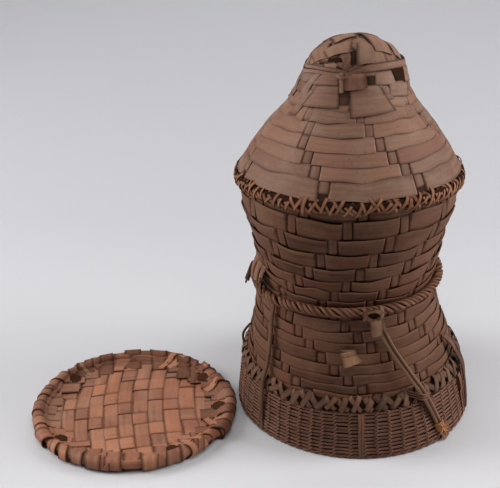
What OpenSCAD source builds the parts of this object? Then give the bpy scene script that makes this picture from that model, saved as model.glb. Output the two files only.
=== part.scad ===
// Plaited leaf basket: an hourglass body on a twined foot ring, a lift-off conical lid
// with a domed crown, and a loose round plaited tray.
// Millimetres, +Z up. The origin is on the ground, on the basket's axis. The front faces -Y.

/* [Foot ring] */
// Outside diameter of the foot ring on the ground
foot_d = 228; // [205:1:245]
// Height of the twined band
band_h = 46; // [34:1:60]
// Height of the hoop that the basket stands on
foot_hoop_h = 4; // [3:0.5:6]
// Number of twined rows in the band
band_rows = 12; // [6:1:14]
// Number of upright stakes in the band
stake_count = 56; // [40:2:60]
// Width of a stake
stake_w = 3.2; // [2:0.1:5]
// Thickness of a stake
stake_t = 2; // [1.5:0.1:3]
// Thickness of one twining strand
strand_t = 1.6; // [1:0.1:2.5]

/* [Walls] */
// How far the wall's foot stands in from the foot ring's outside on the ground
seam_inset = 11; // [6:0.5:16]
// Diameter of the wall at the waist, between its two layers of strips
waist_d = 162; // [145:1:180]
// Diameter of the wall at the mouth, between its two layers of strips
mouth_d = 200; // [192:1:215]
// Height of the waist above the ground
waist_z = 141; // [125:1:155]
// Height of the mouth's edge above the ground
mouth_z = 244; // [225:1:265]
// Number of upright strips round the wall
warp_count = 48; // [32:4:56]
// Gap between upright strips at the waist
warp_gap = 0.8; // [0.4:0.1:2]
// Thickness of a leaf strip
leaf_t = 1.2; // [0.8:0.1:1.6]
// Number of level strips below the waist
lower_rows = 10; // [6:1:12]
// Number of level strips above the waist
upper_rows = 8; // [5:1:9]

/* [Lid] */
// Height of the cone, from its bend at the rim to the neck
cone_h = 78; // [60:1:95]
// How far the cone swells out halfway up
cone_bulge = 4.5; // [0:0.5:7]
// Diameter of the neck, between the two layers of strips
neck_d = 90; // [78:0.5:108]
// Height of the dome above the neck
dome_h = 46.5; // [36:0.5:56]
// Number of upright strips round the lid
lid_warp_count = 56; // [40:8:56]
// Number of level strips on the cone
cone_rows = 7; // [5:1:9]
// Number of level strips on the neck
neck_rows = 2; // [1:1:2]
// Height of the hoop at the lid's rim
lid_hoop_h = 8; // [6:0.5:10]
// Thickness of the hoop at the lid's rim
lid_hoop_t = 1.8; // [1.2:0.1:2.4]

/* [Lashings] */
// Number of cross stitches at the seam of wall and foot ring
seam_stitches = 56; // [40:1:60]
// Width of a seam stitch
seam_stitch_w = 4.4; // [3:0.1:5]
// Number of cross stitches at the lid's rim
lid_stitches = 50; // [36:1:54]
// Width of a rim stitch
lid_stitch_w = 3; // [2:0.1:4]
// Thickness of a stitch
stitch_t = 0.8; // [0.5:0.1:1]
// Diameter of the rope round the waist
rope_d = 8; // [6:0.5:11]

/* [Struts] */
// Width of the loose strut at the right
right_strut_w = 7.6; // [5:0.1:9]
// Thickness of the loose strut at the right
right_strut_t = 3.4; // [2.4:0.1:4]
// Width of the strut at the left
left_strut_w = 5; // [3.5:0.1:7]
// Thickness of the strut at the left
left_strut_t = 3; // [2:0.1:4]

/* [Tray] */
// Outside diameter of the tray
tray_d = 198; // [170:1:205]
// Height of the tray's rolled rim
tray_rim_h = 16; // [12:0.5:20]
// Width of the tray's strips that run away from the front
tray_strip_w = 15.4; // [10:0.1:18]
// Width of the tray's strips that run across
tray_row_w = 18.6; // [12:0.1:22]
// Number of folded strip ends round the rim
tray_wraps = 40; // [28:1:48]
// Gap on the ground between tray and foot ring
tray_gap = 4.8; // [3:0.1:30]

/* [Hidden] */
$fn = 96;

// Gap left between pieces that lie against each other
fit_gap = 0.15;
// Gap between the lid and the mouth that it sits on
lid_gap = 0.4;
// Gap between neighbouring level strips
row_gap = 0.3;
// Gap between the two layers of a cross stitch, which lie on a curve
cross_gap = 0.5;

foot_r = foot_d / 2;
seam_r = foot_r - seam_inset;
waist_r = waist_d / 2;
mouth_r = mouth_d / 2;
neck_r = neck_d / 2;
rope_r = rope_d / 2;

// The wall stands on the band
seam_z = band_h + row_gap;
// How sharply the wall flares below and above the waist
lower_flare = 1.25;
upper_flare = 1;
// How much taller the upper rows of level strips are than the lower ones
row_grade = 1.2;
curve_steps = 10;

// Straight part of the lid that goes over the mouth
lid_skirt_h = 5;
lid_z = mouth_z - lid_skirt_h + 1;
lid_r = mouth_r + 2 * leaf_t + lid_gap;
bend_z = lid_z + lid_skirt_h;
neck_z = bend_z + cone_h;
top_z = neck_z + dome_h;
cone_slope = atan((lid_r - neck_r) / cone_h);
// Height of the neck below the crown
neck_h = 19;
crown_z = neck_z + neck_h;
// The crown is half an ellipse whose middle is part way up the neck
dome_mid_z = neck_z + neck_h / 2;
dome_rise = top_z - leaf_t - dome_mid_z;
// The ring tied round the foot of the crown
crown_band_h = 6;
crown_band_t = 1.4;

// Flat hoop that covers the seam, and the stitches over it
seam_hoop_h = 7;
seam_hoop_t = 1.3;
seam_stitch_h = 18;
seam_stitch_lean = 30;
lid_stitch_h = 10;
lid_stitch_lean = 28;

mouth_hoop_h = 6;
mouth_hoop_t = 2.4;
floor_strip_w = 13.6;

// Where the side pieces stand, as turns from the front towards the right
right_strut_top_turn = 21;
right_strut_foot_turn = 47;
left_strut_turn = -49;
front_clip_turn = 5;
right_clip_turn = 70;
tab_turn = 2;
knot_turn = 12;
tail_turn = -84;
crown_tie_turn = -8;

clip_w = 5.5;
clip_t = 1;
tab_w = 15;
tab_h = 13;
tab_t = 1;
tail_h = 17;

tray_r = tray_d / 2;
tray_rim_r = tray_rim_h / 2;
// The rolled rim is pressed flat where it meets the ground
tray_flat = 0.5;
tray_core_r = 4;
tray_lift = 2;
// The tray lies in front of the basket, to its left
tray_turn = -77.1;
// How far the tray's strips are turned from the basket's front
tray_mat_turn = 8;
tray_reach = foot_r + tray_gap + tray_r;
tray_x = tray_reach * sin(tray_turn);
tray_y = -tray_reach * cos(tray_turn);

leaf = "#6b4f42";
leaf_dark = "#5a4238";
cane = "#5f4436";
tray_leaf = "#8a5a45";

function numbered(name, count) = [for (i = [1:count]) str(name, "_", i)];

// Radius between the two layers of strips, at a height on the wall
function lower_mid(z) =
    waist_r + (seam_r - waist_r) * pow((waist_z - z) / (waist_z - seam_z), lower_flare);
function upper_mid(z) =
    waist_r + (mouth_r - waist_r) * pow((z - waist_z) / (mouth_z - waist_z), upper_flare);
function wall_mid(z) = z < waist_z ? lower_mid(z) : upper_mid(z);
function wall_out(z) = wall_mid(z) + leaf_t + fit_gap;

// Middle radius of the stakes in the foot ring, at a height
foot_mid = foot_r - strand_t - fit_gap - stake_t / 2;
// The wall stands on the band's inner half
band_step = 2;
function stake_mid(z) = foot_mid + (seam_r + band_step - foot_mid) * z / band_h;
function band_out(z) = stake_mid(z) + stake_t / 2 + fit_gap + strand_t;

// Points along the wall between two heights, moved out by a distance
function wall_line(low, high, out) =
    [for (i = [0:curve_steps]) let (z = low + (high - low) * i / curve_steps) [wall_mid(z) + out, z]];

// The cone swells out between its bend and the neck, and is straight within each row
function cone_mid(z) = neck_r + (neck_z - z) * tan(cone_slope) + cone_bulge * sin(180 * (z - bend_z) / cone_h);
function cone_lean(z) = atan(tan(cone_slope) - cone_bulge * PI / cone_h * cos(180 * (z - bend_z) / cone_h));
// Level strips start above the rim's hoop
cone_weft_z = lid_z + lid_hoop_h + 4;
cone_stops = concat([bend_z], [for (i = [0:cone_rows]) cone_weft_z + (neck_z - cone_weft_z) * i / cone_rows]);
cone_line = [for (z = cone_stops) [z, cone_mid(z)]];

// Points along the lid from its rim to the crown, moved out by a distance
function lid_line(out) = concat(
    [[lid_r + out, lid_z],
     [lid_r + out, bend_z + out * tan(cone_lean(bend_z) / 2)]],
    [for (z = cone_stops) if (z > bend_z && z < neck_z)
        [cone_mid(z) + out * cos(cone_lean(z)), z + out * sin(cone_lean(z))]],
    [[neck_r + out, neck_z + out * tan(cone_lean(neck_z) / 2)]],
    [for (i = [1:2]) dome_point(dome_mid_z + (crown_z - dome_mid_z) * i / 2, out)]
);
function dome_point(z, out) = [neck_r * sqrt(1 - pow((z - dome_mid_z) / dome_rise, 2)) + out, z];

function backwards(points) = [for (i = [len(points) - 1:-1:0]) points[i]];
// Closed outline between two lines that run the same way
function between(inner, outer) = concat(inner, backwards(outer));
function turn_of(width, radius) = width / radius * 180 / PI;

// Share of the wall's height below a row, with taller rows higher up
function row_share(row, rows) = pow(row / rows, row_grade);

module at_turn(turn) {
    rotate([0, 0, turn - 90]) children();
}

module ring(outline) {
    rotate_extrude() polygon(outline);
}

module ring_piece(outline, turn, width) {
    at_turn(turn - width / 2) rotate_extrude(angle = width) polygon(outline);
}

// Upright strips side by side all round
module warps(outline, count, gap_turn) {
    for (i = [0:count - 1]) ring_piece(outline, i * 360 / count, 360 / count - gap_turn);
}

// One level strip round the wall, outside the upright strips
module wall_weft(low, high) {
    ring(between(
        wall_line(low + row_gap / 2, high - row_gap / 2, fit_gap),
        wall_line(low + row_gap / 2, high - row_gap / 2, fit_gap + leaf_t)
    ));
}

// Cross stitches side by side: each is two strips, one over the other
module cross_stitches(count, radius, z, slope, width, height, lean) {
    for (i = [0:count - 1], layer = [0, 1])
        at_turn((i + 0.5) * 360 / count)
            translate([radius + layer * (stitch_t + cross_gap), 0, z])
                rotate([0, -slope, 0])
                    rotate([layer == 0 ? lean : -lean, 0, 0])
                        translate([0, -width / 2, -height / cos(lean) / 2])
                            cube([stitch_t, width, height / cos(lean)]);
}

// Round mat of parallel strips
module strip_disc(radius, width, thickness) {
    count = ceil(radius / width);
    intersection() {
        cylinder(r = radius, h = thickness);
        for (i = [-count:count])
            translate([i * width - (width - row_gap) / 2, -radius, 0])
                cube([width - row_gap, 2 * radius, thickness]);
    }
}

// Flat bar through points, each [turn, radius to its back, height]
module bar(route, width, thickness) {
    last = len(route) - 1;
    corners = [[0, -1], [1, -1], [1, 1], [0, 1]];
    points = [for (p = route, c = corners)
        let (r = p[1] + c[0] * thickness, side = c[1] * width / 2)
            [r * sin(p[0]) + side * cos(p[0]), -r * cos(p[0]) + side * sin(p[0]), p[2]]];
    sides = [for (i = [0:last - 1], k = [0:3], half = [0, 1])
        let (a = 4 * i + k, b = 4 * i + (k + 1) % 4)
            half == 0 ? [a, b, b + 4] : [a, b + 4, a + 4]];
    ends = [[0, 2, 1], [0, 3, 2],
            [4 * last, 4 * last + 1, 4 * last + 2], [4 * last, 4 * last + 2, 4 * last + 3]];
    polyhedron(points, concat(sides, ends));
}

// Hoop that the basket stands on
module foot_hoop() {
    inner = stake_mid(0) - stake_t / 2 - fit_gap - strand_t;
    color(cane) ring([[inner, 0], [foot_r, 0], [foot_r, foot_hoop_h], [inner, foot_hoop_h]]);
}

// Upright stakes of the foot ring, standing on the hoop
module foot_stakes() {
    low = foot_hoop_h + fit_gap;
    outline = [for (p = [[-1, low], [1, low], [1, band_h], [-1, band_h]])
        [stake_mid(p[1]) + p[0] * stake_t / 2, p[1]]];
    color(cane) warps(outline, stake_count, 360 / stake_count - turn_of(stake_w, foot_r));
}

// Level strands of the foot ring, on one face of the stakes
module strands(face) {
    pitch = (band_h - foot_hoop_h) / band_rows;
    near = stake_t / 2 + fit_gap;
    for (i = [0:band_rows - 1]) {
        low = foot_hoop_h + i * pitch + row_gap;
        high = foot_hoop_h + (i + 1) * pitch;
        ring([for (p = [[near, low], [near + strand_t, low], [near + strand_t, high], [near, high]])
            [stake_mid(p[1]) + face * p[0], p[1]]]);
    }
}

module foot_twining() {
    color(cane) strands(1);
}

module foot_inner_strands() {
    color(cane) strands(-1);
}

// Split-cane clips over the band's outside
module foot_clips() {
    clip_gap = 2 * fit_gap;
    color(cane)
        for (turn = [front_clip_turn, right_clip_turn])
            ring_piece([for (p = [[0, foot_hoop_h], [clip_t, foot_hoop_h], [clip_t, band_h - 8], [0, band_h - 8]])
                [band_out(p[1]) + clip_gap + p[0], p[1]]], turn, turn_of(clip_w, foot_r));
}

// Flat hoop round the foot of the wall, under the stitches
module seam_hoop() {
    back = leaf_t + 3 * fit_gap;
    color(cane) ring(between(
        wall_line(seam_z + row_gap, seam_z + seam_hoop_h, back),
        wall_line(seam_z + row_gap, seam_z + seam_hoop_h, back + seam_hoop_t)
    ));
}

// The stitches run from the band's top rows, over the hoop, to the wall
seam_mid_z = seam_z + 4;
seam_low_z = seam_mid_z - seam_stitch_h / 2;
seam_high_z = seam_mid_z + seam_stitch_h / 2;
seam_slope = atan(0.8 * (band_out(seam_low_z) - wall_out(seam_high_z)) / seam_stitch_h);
function seam_hoop_out(z) = wall_mid(z) + leaf_t + 3 * fit_gap + seam_hoop_t;
// Radius at the stitches' mid height that clears a radius at another height
function stitch_need(z, radius) = radius + (z - seam_mid_z) * tan(seam_slope);
stitch_tip = seam_stitch_w / 2 * sin(seam_stitch_lean);
seam_stitch_r = 4 * fit_gap + max(
    stitch_need(seam_low_z - stitch_tip, band_out(seam_low_z - stitch_tip)),
    stitch_need(band_h, band_out(band_h)),
    stitch_need(seam_z + row_gap, seam_hoop_out(seam_z + row_gap)),
    stitch_need(seam_z + seam_hoop_h, seam_hoop_out(seam_z + seam_hoop_h)),
    stitch_need(seam_high_z + stitch_tip, wall_out(seam_high_z + stitch_tip))
);
function stitch_line(z) = seam_stitch_r - (z - seam_mid_z) * tan(seam_slope);

module seam_lashing() {
    color(leaf_dark) cross_stitches(seam_stitches, seam_stitch_r, seam_mid_z, seam_slope,
                                    seam_stitch_w, seam_stitch_h, seam_stitch_lean);
}

// Floor of two layers of strips, inside the foot of the wall
floor_z = seam_z + 2;
floor_r = wall_mid(floor_z + 3 * leaf_t) - leaf_t - 2 * fit_gap;

module floor_strips_across() {
    color(leaf_dark) translate([0, 0, floor_z]) strip_disc(floor_r, floor_strip_w, leaf_t);
}

module floor_strips_along() {
    color(leaf_dark) translate([0, 0, floor_z + leaf_t + fit_gap]) rotate([0, 0, 90])
        strip_disc(floor_r, floor_strip_w, leaf_t);
}

module wall_warps(low, high) {
    color(leaf_dark) warps(between(wall_line(low, high, -leaf_t), wall_line(low, high, 0)),
                           warp_count, turn_of(warp_gap, waist_r));
}

module lower_warps() {
    wall_warps(seam_z, waist_z - row_gap / 2);
}

module upper_warps() {
    wall_warps(waist_z + row_gap / 2, mouth_z);
}

// Level strip by number, counted from the bottom
module lower_weft(row) {
    span = waist_z - seam_z;
    color(leaf) wall_weft(seam_z + span * row_share(row - 1, lower_rows),
                          seam_z + span * row_share(row, lower_rows));
}

module upper_weft(row) {
    span = mouth_z - waist_z;
    color(leaf) wall_weft(waist_z + span * row_share(row - 1, upper_rows),
                          waist_z + span * row_share(row, upper_rows));
}

// Rope tied round the waist
rope_mid = waist_r + leaf_t + 3 * fit_gap + rope_r + 0.3;

module waist_rope() {
    color(cane) rotate_extrude() translate([rope_mid, waist_z]) circle(r = rope_r);
}

// Loop of the knot, lying against the rope
module rope_knot() {
    knot_r = 6.5;
    strand_r = 2;
    color(cane) at_turn(knot_turn) translate([rope_mid + rope_r + strand_r + fit_gap, 0, waist_z])
        rotate([0, 90, 0]) rotate_extrude() translate([knot_r, 0]) circle(r = strand_r, $fn = 32);
}

// Frayed end of the rope at the left
module rope_tail() {
    color(cane) at_turn(tail_turn)
        translate([rope_mid + rope_r + 2 * fit_gap + 3.4, 0, waist_z - tail_h / 2])
            cylinder(r1 = 3.4, r2 = 2.2, h = tail_h, $fn = 32);
}

// Hoop inside the mouth
module mouth_hoop() {
    back = -leaf_t - 2 * fit_gap;
    color(cane) ring(between(
        wall_line(mouth_z - mouth_hoop_h, mouth_z, back - mouth_hoop_t),
        wall_line(mouth_z - mouth_hoop_h, mouth_z, back)
    ));
}

// The struts run from under the rope, over the stitches, to the foot
strut_top_z = waist_z - rope_r - 2;
strut_foot_z = 3;
stitch_layers = 2 * stitch_t + cross_gap + 3 * fit_gap;
strut_stops = [
    [strut_foot_z, max(band_out(strut_foot_z), foot_r) + 4 * fit_gap],
    [seam_low_z - 2, stitch_line(seam_low_z - 2) + stitch_layers],
    [seam_high_z + 2, stitch_line(seam_high_z + 2) + stitch_layers],
    [strut_top_z, wall_out(strut_top_z) + 2 * fit_gap]
];
function strut_back(z) = lookup(z, strut_stops);

// Heights along a strut, with each stretch between two stops cut into four
strut_heights = concat(
    [for (i = [0:2], j = [0:3])
        strut_stops[i][0] + (strut_stops[i + 1][0] - strut_stops[i][0]) * j / 4],
    [strut_top_z]
);
function strut_share(z) = (strut_top_z - z) / (strut_top_z - strut_foot_z);
function strut_route(top_turn, foot_turn) =
    [for (z = backwards(strut_heights))
        [top_turn + (foot_turn - top_turn) * strut_share(z), strut_back(z), z]];

module left_strut() {
    color(cane) bar(strut_route(left_strut_turn, left_strut_turn), left_strut_w, left_strut_t);
}

module right_strut() {
    color(cane) bar(strut_route(right_strut_top_turn, right_strut_foot_turn), right_strut_w, right_strut_t);
}

function right_strut_turn(z) = right_strut_top_turn
    + (right_strut_foot_turn - right_strut_top_turn) * strut_share(z);

// Strip looped over the rope, which holds the loose strut's top
module strut_loop() {
    loop_t = 1.2;
    loop_w = 9;
    at_turn(right_strut_top_turn - turn_of(loop_w, rope_mid) / 2) color(leaf)
        rotate_extrude(angle = turn_of(loop_w, rope_mid))
            difference() {
                translate([rope_mid, waist_z]) intersection() {
                    circle(r = rope_r + fit_gap + loop_t);
                    translate([0, -rope_d]) square([rope_d, 2 * rope_d]);
                }
                translate([rope_mid, waist_z]) circle(r = rope_r + fit_gap);
            }
}

// Thin cord over the loose strut, where it crosses the seam
module strut_keeper() {
    cord_r = 1.1;
    keeper_z = seam_z + 10;
    keeper_r = strut_back(keeper_z) + right_strut_t + cord_r + 0.9;
    color(cane) at_turn(right_strut_turn(keeper_z) - 7) rotate_extrude(angle = 14)
        translate([keeper_r, keeper_z]) circle(r = cord_r, $fn = 32);
}

// Cord wound round the loose strut's lower end
module strut_binding() {
    wrap_t = 1.2;
    wrap_h = 7;
    wrap_z = 13 + wrap_h / 2;
    back = strut_back(wrap_z);
    room = 0.4;
    // The strut leans to the right, and outwards, as it goes down
    lean = atan((right_strut_turn(wrap_z - 1) - right_strut_turn(wrap_z)) * PI / 180 * back);
    tilt = atan(strut_back(wrap_z - 1) - back);
    color("#8a5a38") at_turn(right_strut_turn(wrap_z)) translate([back, 0, wrap_z])
        rotate([0, -tilt, 0]) rotate([lean, 0, 0]) translate([0, 0, -wrap_h / 2]) {
            translate([right_strut_t + 2 * fit_gap, -right_strut_w / 2 - room - wrap_t, 0])
                cube([wrap_t, right_strut_w + 2 * (room + wrap_t), wrap_h]);
            for (side = [-1, 1])
                translate([0, side * (right_strut_w / 2 + room + wrap_t / 2) - wrap_t / 2, 0])
                    cube([right_strut_t + 3 * fit_gap, wrap_t, wrap_h]);
        }
}

// Folded end of a strip that stands out of the lower wall, further than the wall slopes
tab_z = seam_z + 0.58 * (waist_z - seam_z);
tab_lean = atan((wall_out(tab_z - tab_h) - wall_out(tab_z)) / tab_h) + 7;

module strip_tab() {
    color("#8f7355") at_turn(tab_turn) translate([wall_out(tab_z) + 0.6, 0, tab_z])
        rotate([0, -tab_lean, 0]) translate([0, -tab_w / 2, -tab_h])
            cube([tab_t, tab_w, tab_h]);
}

module lid_warps() {
    color(leaf_dark) warps(between(lid_line(-leaf_t), lid_line(0)), lid_warp_count,
                           turn_of(warp_gap, lid_r));
}

// Level strip by number, counted from the rim: first the cone's, then the neck's
module lid_weft(row) {
    on_cone = row <= cone_rows;
    span = on_cone ? neck_z - cone_weft_z : crown_z - neck_z;
    share = on_cone ? (row - 1) / cone_rows : (row - 1 - cone_rows) / neck_rows;
    step = span / (on_cone ? cone_rows : neck_rows);
    low = (on_cone ? cone_weft_z : neck_z) + span * share + row_gap;
    high = low + step - row_gap;
    lean = atan((lid_mid(low) - lid_mid(high)) / (high - low));
    back = on_cone ? fit_gap / cos(lean) : 0.6;
    thick = on_cone ? leaf_t / cos(lean) : leaf_t;
    color(leaf) ring([[lid_mid(low) + back, low], [lid_mid(low) + back + thick, low],
                      [lid_mid(high) + back + thick, high], [lid_mid(high) + back, high]]);
}

function lid_mid(z) =
    z < neck_z ? lookup(z, cone_line)
    : z < dome_mid_z ? neck_r : dome_point(z, 0)[0];

// Hoop round the lid's rim, outside the upright strips
lid_hoop_r = lid_r + fit_gap;

module lid_hoop() {
    color(cane) translate([0, 0, lid_z]) difference() {
        cylinder(r = lid_hoop_r + lid_hoop_t, h = lid_hoop_h);
        translate([0, 0, -1]) cylinder(r = lid_hoop_r, h = lid_hoop_h + 2);
    }
}

module lid_lashing() {
    color("#7a5340") cross_stitches(lid_stitches, lid_hoop_r + lid_hoop_t + 2 * fit_gap, lid_z + lid_hoop_h / 2,
                                    0, lid_stitch_w, lid_stitch_h, lid_stitch_lean);
}

// Dome of folded strip ends above the neck
module lid_crown() {
    steps = 8;
    low = asin((crown_z + row_gap - dome_mid_z) / dome_rise);
    function dome_arc(out) = [for (i = [0:steps])
        let (a = low + (90 - low) * i / steps)
            [max(0, (neck_r + out) * cos(a)), dome_mid_z + (dome_rise + out) * sin(a)]];
    color(leaf) ring(between(dome_arc(-leaf_t), dome_arc(leaf_t)));
}

// Strip tied round the foot of the crown
crown_band_z = crown_z - crown_band_h / 2;
crown_band_r = lid_mid(crown_band_z) + 0.6 + leaf_t + fit_gap;

module crown_band() {
    color(leaf_dark) translate([0, 0, crown_band_z]) difference() {
        cylinder(r = crown_band_r + crown_band_t, h = crown_band_h);
        translate([0, 0, -1]) cylinder(r = crown_band_r, h = crown_band_h + 2);
    }
}

// Knot of the crown's band, with its end hanging down
module crown_tie() {
    tie_w = 5;
    tie_t = 1.4;
    drop = 17;
    color(leaf_dark) at_turn(crown_tie_turn)
        translate([crown_band_r + crown_band_t + fit_gap, -tie_w / 2, crown_band_z + crown_band_h - drop])
            cube([tie_t, tie_w, drop]);
}

// Mat of the tray, one layer for each way that the strips run
tray_mid_r = tray_r - tray_rim_r;
tray_mid_z = tray_rim_r - tray_flat;
tray_mat_r = tray_mid_r - tray_rim_r - fit_gap;

module tray_layer(layer) {
    color(tray_leaf)
        translate([tray_x, tray_y, tray_lift + layer * (leaf_t + fit_gap)])
            rotate([0, 0, tray_mat_turn + 90 * layer])
                strip_disc(tray_mat_r, layer == 0 ? tray_strip_w : tray_row_w, leaf_t);
}

module tray_strips_across() {
    tray_layer(0);
}

module tray_strips_along() {
    tray_layer(1);
}

// Cane inside the tray's rolled rim
module tray_hoop() {
    color(cane) translate([tray_x, tray_y, 0])
        rotate_extrude() translate([tray_mid_r, tray_mid_z]) circle(r = tray_core_r);
}

// Strip ends folded over the cane, side by side
module tray_rim() {
    wrap_gap = turn_of(row_gap, tray_mid_r);
    color(tray_leaf) translate([tray_x, tray_y, 0])
        for (i = [0:tray_wraps - 1])
            rotate([0, 0, i * 360 / tray_wraps]) rotate_extrude(angle = 360 / tray_wraps - wrap_gap)
                difference() {
                    intersection() {
                        translate([tray_mid_r, tray_mid_z]) circle(r = tray_rim_r);
                        translate([tray_mid_r - tray_rim_r, 0]) square([2 * tray_rim_r, 2 * tray_rim_r]);
                    }
                    translate([tray_mid_r, tray_mid_z]) circle(r = tray_core_r + fit_gap);
                }
}

foot_hoop();
foot_stakes();
foot_twining();
foot_inner_strands();
foot_clips();
seam_hoop();
seam_lashing();
floor_strips_across();
floor_strips_along();
lower_warps();
for (row = [1:lower_rows]) lower_weft(row);
waist_rope();
rope_knot();
rope_tail();
upper_warps();
for (row = [1:upper_rows]) upper_weft(row);
mouth_hoop();
left_strut();
right_strut();
strut_loop();
strut_keeper();
strut_binding();
strip_tab();
lid_warps();
for (row = [1:cone_rows + neck_rows]) lid_weft(row);
lid_hoop();
lid_lashing();
lid_crown();
crown_band();
crown_tie();
tray_strips_across();
tray_strips_along();
tray_hoop();
tray_rim();
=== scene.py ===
import math
import bpy
import numpy as np
from mathutils import Matrix, Vector


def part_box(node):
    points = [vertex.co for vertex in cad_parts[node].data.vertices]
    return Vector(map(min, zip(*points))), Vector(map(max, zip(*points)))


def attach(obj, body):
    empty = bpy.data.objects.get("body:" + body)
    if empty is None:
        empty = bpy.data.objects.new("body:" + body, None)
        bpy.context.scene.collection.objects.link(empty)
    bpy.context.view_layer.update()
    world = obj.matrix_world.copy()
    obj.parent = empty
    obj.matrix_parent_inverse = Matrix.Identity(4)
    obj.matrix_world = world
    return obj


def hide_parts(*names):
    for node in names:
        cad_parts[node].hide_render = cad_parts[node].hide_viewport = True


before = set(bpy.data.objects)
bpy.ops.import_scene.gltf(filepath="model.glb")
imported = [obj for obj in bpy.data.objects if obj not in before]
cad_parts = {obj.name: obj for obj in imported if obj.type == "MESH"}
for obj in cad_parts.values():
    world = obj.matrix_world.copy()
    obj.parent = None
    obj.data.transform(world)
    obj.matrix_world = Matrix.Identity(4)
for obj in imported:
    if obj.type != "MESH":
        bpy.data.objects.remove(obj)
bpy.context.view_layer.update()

# Lengths are in millimetres until a mesh is written. Turns are measured from the front towards the right.
MM = 0.001
TAU = 2 * math.pi
UP = np.array([0, 0, 1.0])
LEVEL = np.array([1, 1, 0])

# Foot ring
FOOT_R = 114.0
BAND_H = 46.0
BAND_ROWS = 12
STAKES = 56
FOOT_HOOP_H = 4.0
FOOT_FULL = 5.5
FOOT_FULL_TURN = 38.0
FOOT_FULL_SPREAD = 44.0

# Walls, floor and rope
SEAM_R = 103.0
SEAM_Z = 46.3
SEAM_STITCHES = 56
WAIST_R = 81.0
WAIST_Z = 141.0
MOUTH_R = 100.0
MOUTH_Z = 244.0
WALL_FULL = 3.0
WALL_FULL_Z = 214.0
WALL_FULL_SPREAD = 14.0
WARPS = 48
WARP_SHARE = 0.62
FLOOR_R = 99.5
FLOOR_Z = 49.6
FLOOR_STRIP = 13.9
ROPE_MID = 87.55
ROPE_PLY = 2.5
ROPE_TWISTS = 23
ROPE_SAG = 5.0
ROPE_SAG_TURN = -52.0

# Lid
LID_Z = 240.0
LID_R = 102.8
LID_WARPS = 56
LID_WARP_SHARE = 0.8
LID_WARP_LEAST = 7.0
RIM_STITCHES = 84
BEND_Z = 245.0
CONE_SWELL = 4.5
NECK_R = 45.0
NECK_Z = 323.0
NECK_FLARE = 4.5
NECK_FLARE_SPREAD = 10.0
TORN_TURN = 59
CROWN_Z = 342.0
CROWN_BAND_Z = 344.0
CROWN_BAND_R = 46.4
CROWN_CROSSING = 352
CROWN_STRIP = 17.5
DOME_MID_Z = 332.5
DOME_RISE = 35.8
DOME_R = 44.0
DOME_ARC = 40.5

# Tray
TRAY = np.array([-212.30, -48.62, 0.0])
TRAY_TURN = math.radians(8)
TRAY_SIDE = -125  # what lies further left belongs to the tray
MAT_R = 89.0
MAT_Z = 4.2
MAT_STRIPS = (14.6, 19.4)
TRAY_HOOP_R = 92.6
TRAY_HOOP_Z = 7.2
TRAY_HOOP_T = 4.8
TRAY_FOLD_R = 93.0
TRAY_FOLDS = 42
TRAY_HOLES = (35, 93, 131, -47, -125)

# The basket was plaited by eye: it leans to one side and back again, and its mouth is higher at the front
LEAN_Z = [0, 46, 85, 120, 141, 244, 300, 345, 370]
LEAN_X = [2.6, 1.8, -1.2, -3.8, -2.8, -2.0, -0.5, 2.0, 2.5]
FRONT_RISE = 10.0


# Small tools for numbers

def smooth(x):
    x = np.clip(x, 0, 1)
    return x * x * (3 - 2 * x)


def hump(x, spread):
    return np.exp(-(x / spread) ** 2)


def wander(seed, waves, size):
    """Slow unevenness round a ring, about `size` millimetres either way."""
    dice = np.random.default_rng(seed)
    count = np.arange(1, waves + 1)
    height = dice.normal(size=waves) / np.sqrt(count)
    start = dice.uniform(0, TAU, waves)
    height *= size / max(1e-6, np.sqrt((height ** 2).sum()))
    return lambda turn: (height[:, None] * np.sin(np.outer(count, turn) + start[:, None])).sum(0)


def ring_turns(count):
    return np.arange(count) / count * TAU


def away(turn, degrees):
    """Degrees from a place round the basket, at most half a round either way."""
    return (np.degrees(turn) - degrees + 180) % 360 - 180


def around(radius, turn, z):
    return np.stack([radius * np.sin(turn), -radius * np.cos(turn), z + 0 * turn], -1)


def outward(turn):
    return np.stack([np.sin(turn), -np.cos(turn), 0 * turn], -1)


def sideways(turn):
    return np.stack([np.cos(turn), np.sin(turn), 0 * turn], -1)


def unit(v):
    return v / np.maximum(1e-9, np.linalg.norm(v, axis=-1, keepdims=True))


def each(value, course):
    """One value for every point of a course."""
    return np.asarray(value, float) + np.zeros_like(course)


def run_length(course):
    return np.linalg.norm(np.diff(course, axis=0), axis=1).sum()


def between(corners, across, down):
    """Place inside four corners: upper left, upper right, lower left and lower right."""
    a, b, c, d = (np.array(corner, float) for corner in corners)
    across, down = across[:, None], down[:, None]
    return (a * (1 - across) + b * across) * (1 - down) + (c * (1 - across) + d * across) * down


# Shapes of the basket: radius between its two layers of strips

def wall_mid(z):
    low = np.clip((WAIST_Z - z) / (WAIST_Z - SEAM_Z), 0, 1.3) ** 1.25
    high = np.clip((z - WAIST_Z) / (MOUTH_Z - WAIST_Z), 0, 1.3)
    full = WALL_FULL * hump(z - WALL_FULL_Z, WALL_FULL_SPREAD)
    return WAIST_R + (SEAM_R - WAIST_R) * low + (MOUTH_R - WAIST_R) * high + full


def lid_mid(z):
    up = (z - BEND_Z) / (NECK_Z - BEND_Z)
    cone = NECK_R + (1 - up) * (LID_R - NECK_R) + CONE_SWELL * np.sin(math.pi * np.clip(up, 0, 1))
    dome = NECK_R * np.sqrt(np.clip(1 - ((z - DOME_MID_Z) / DOME_RISE) ** 2, 0.02, 1))
    flare = NECK_FLARE * hump(z - NECK_Z, NECK_FLARE_SPREAD)
    above = np.where(z < NECK_Z, cone, np.where(z < DOME_MID_Z, NECK_R, dome)) + flare
    return np.where(z < BEND_Z, LID_R, above)


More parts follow.
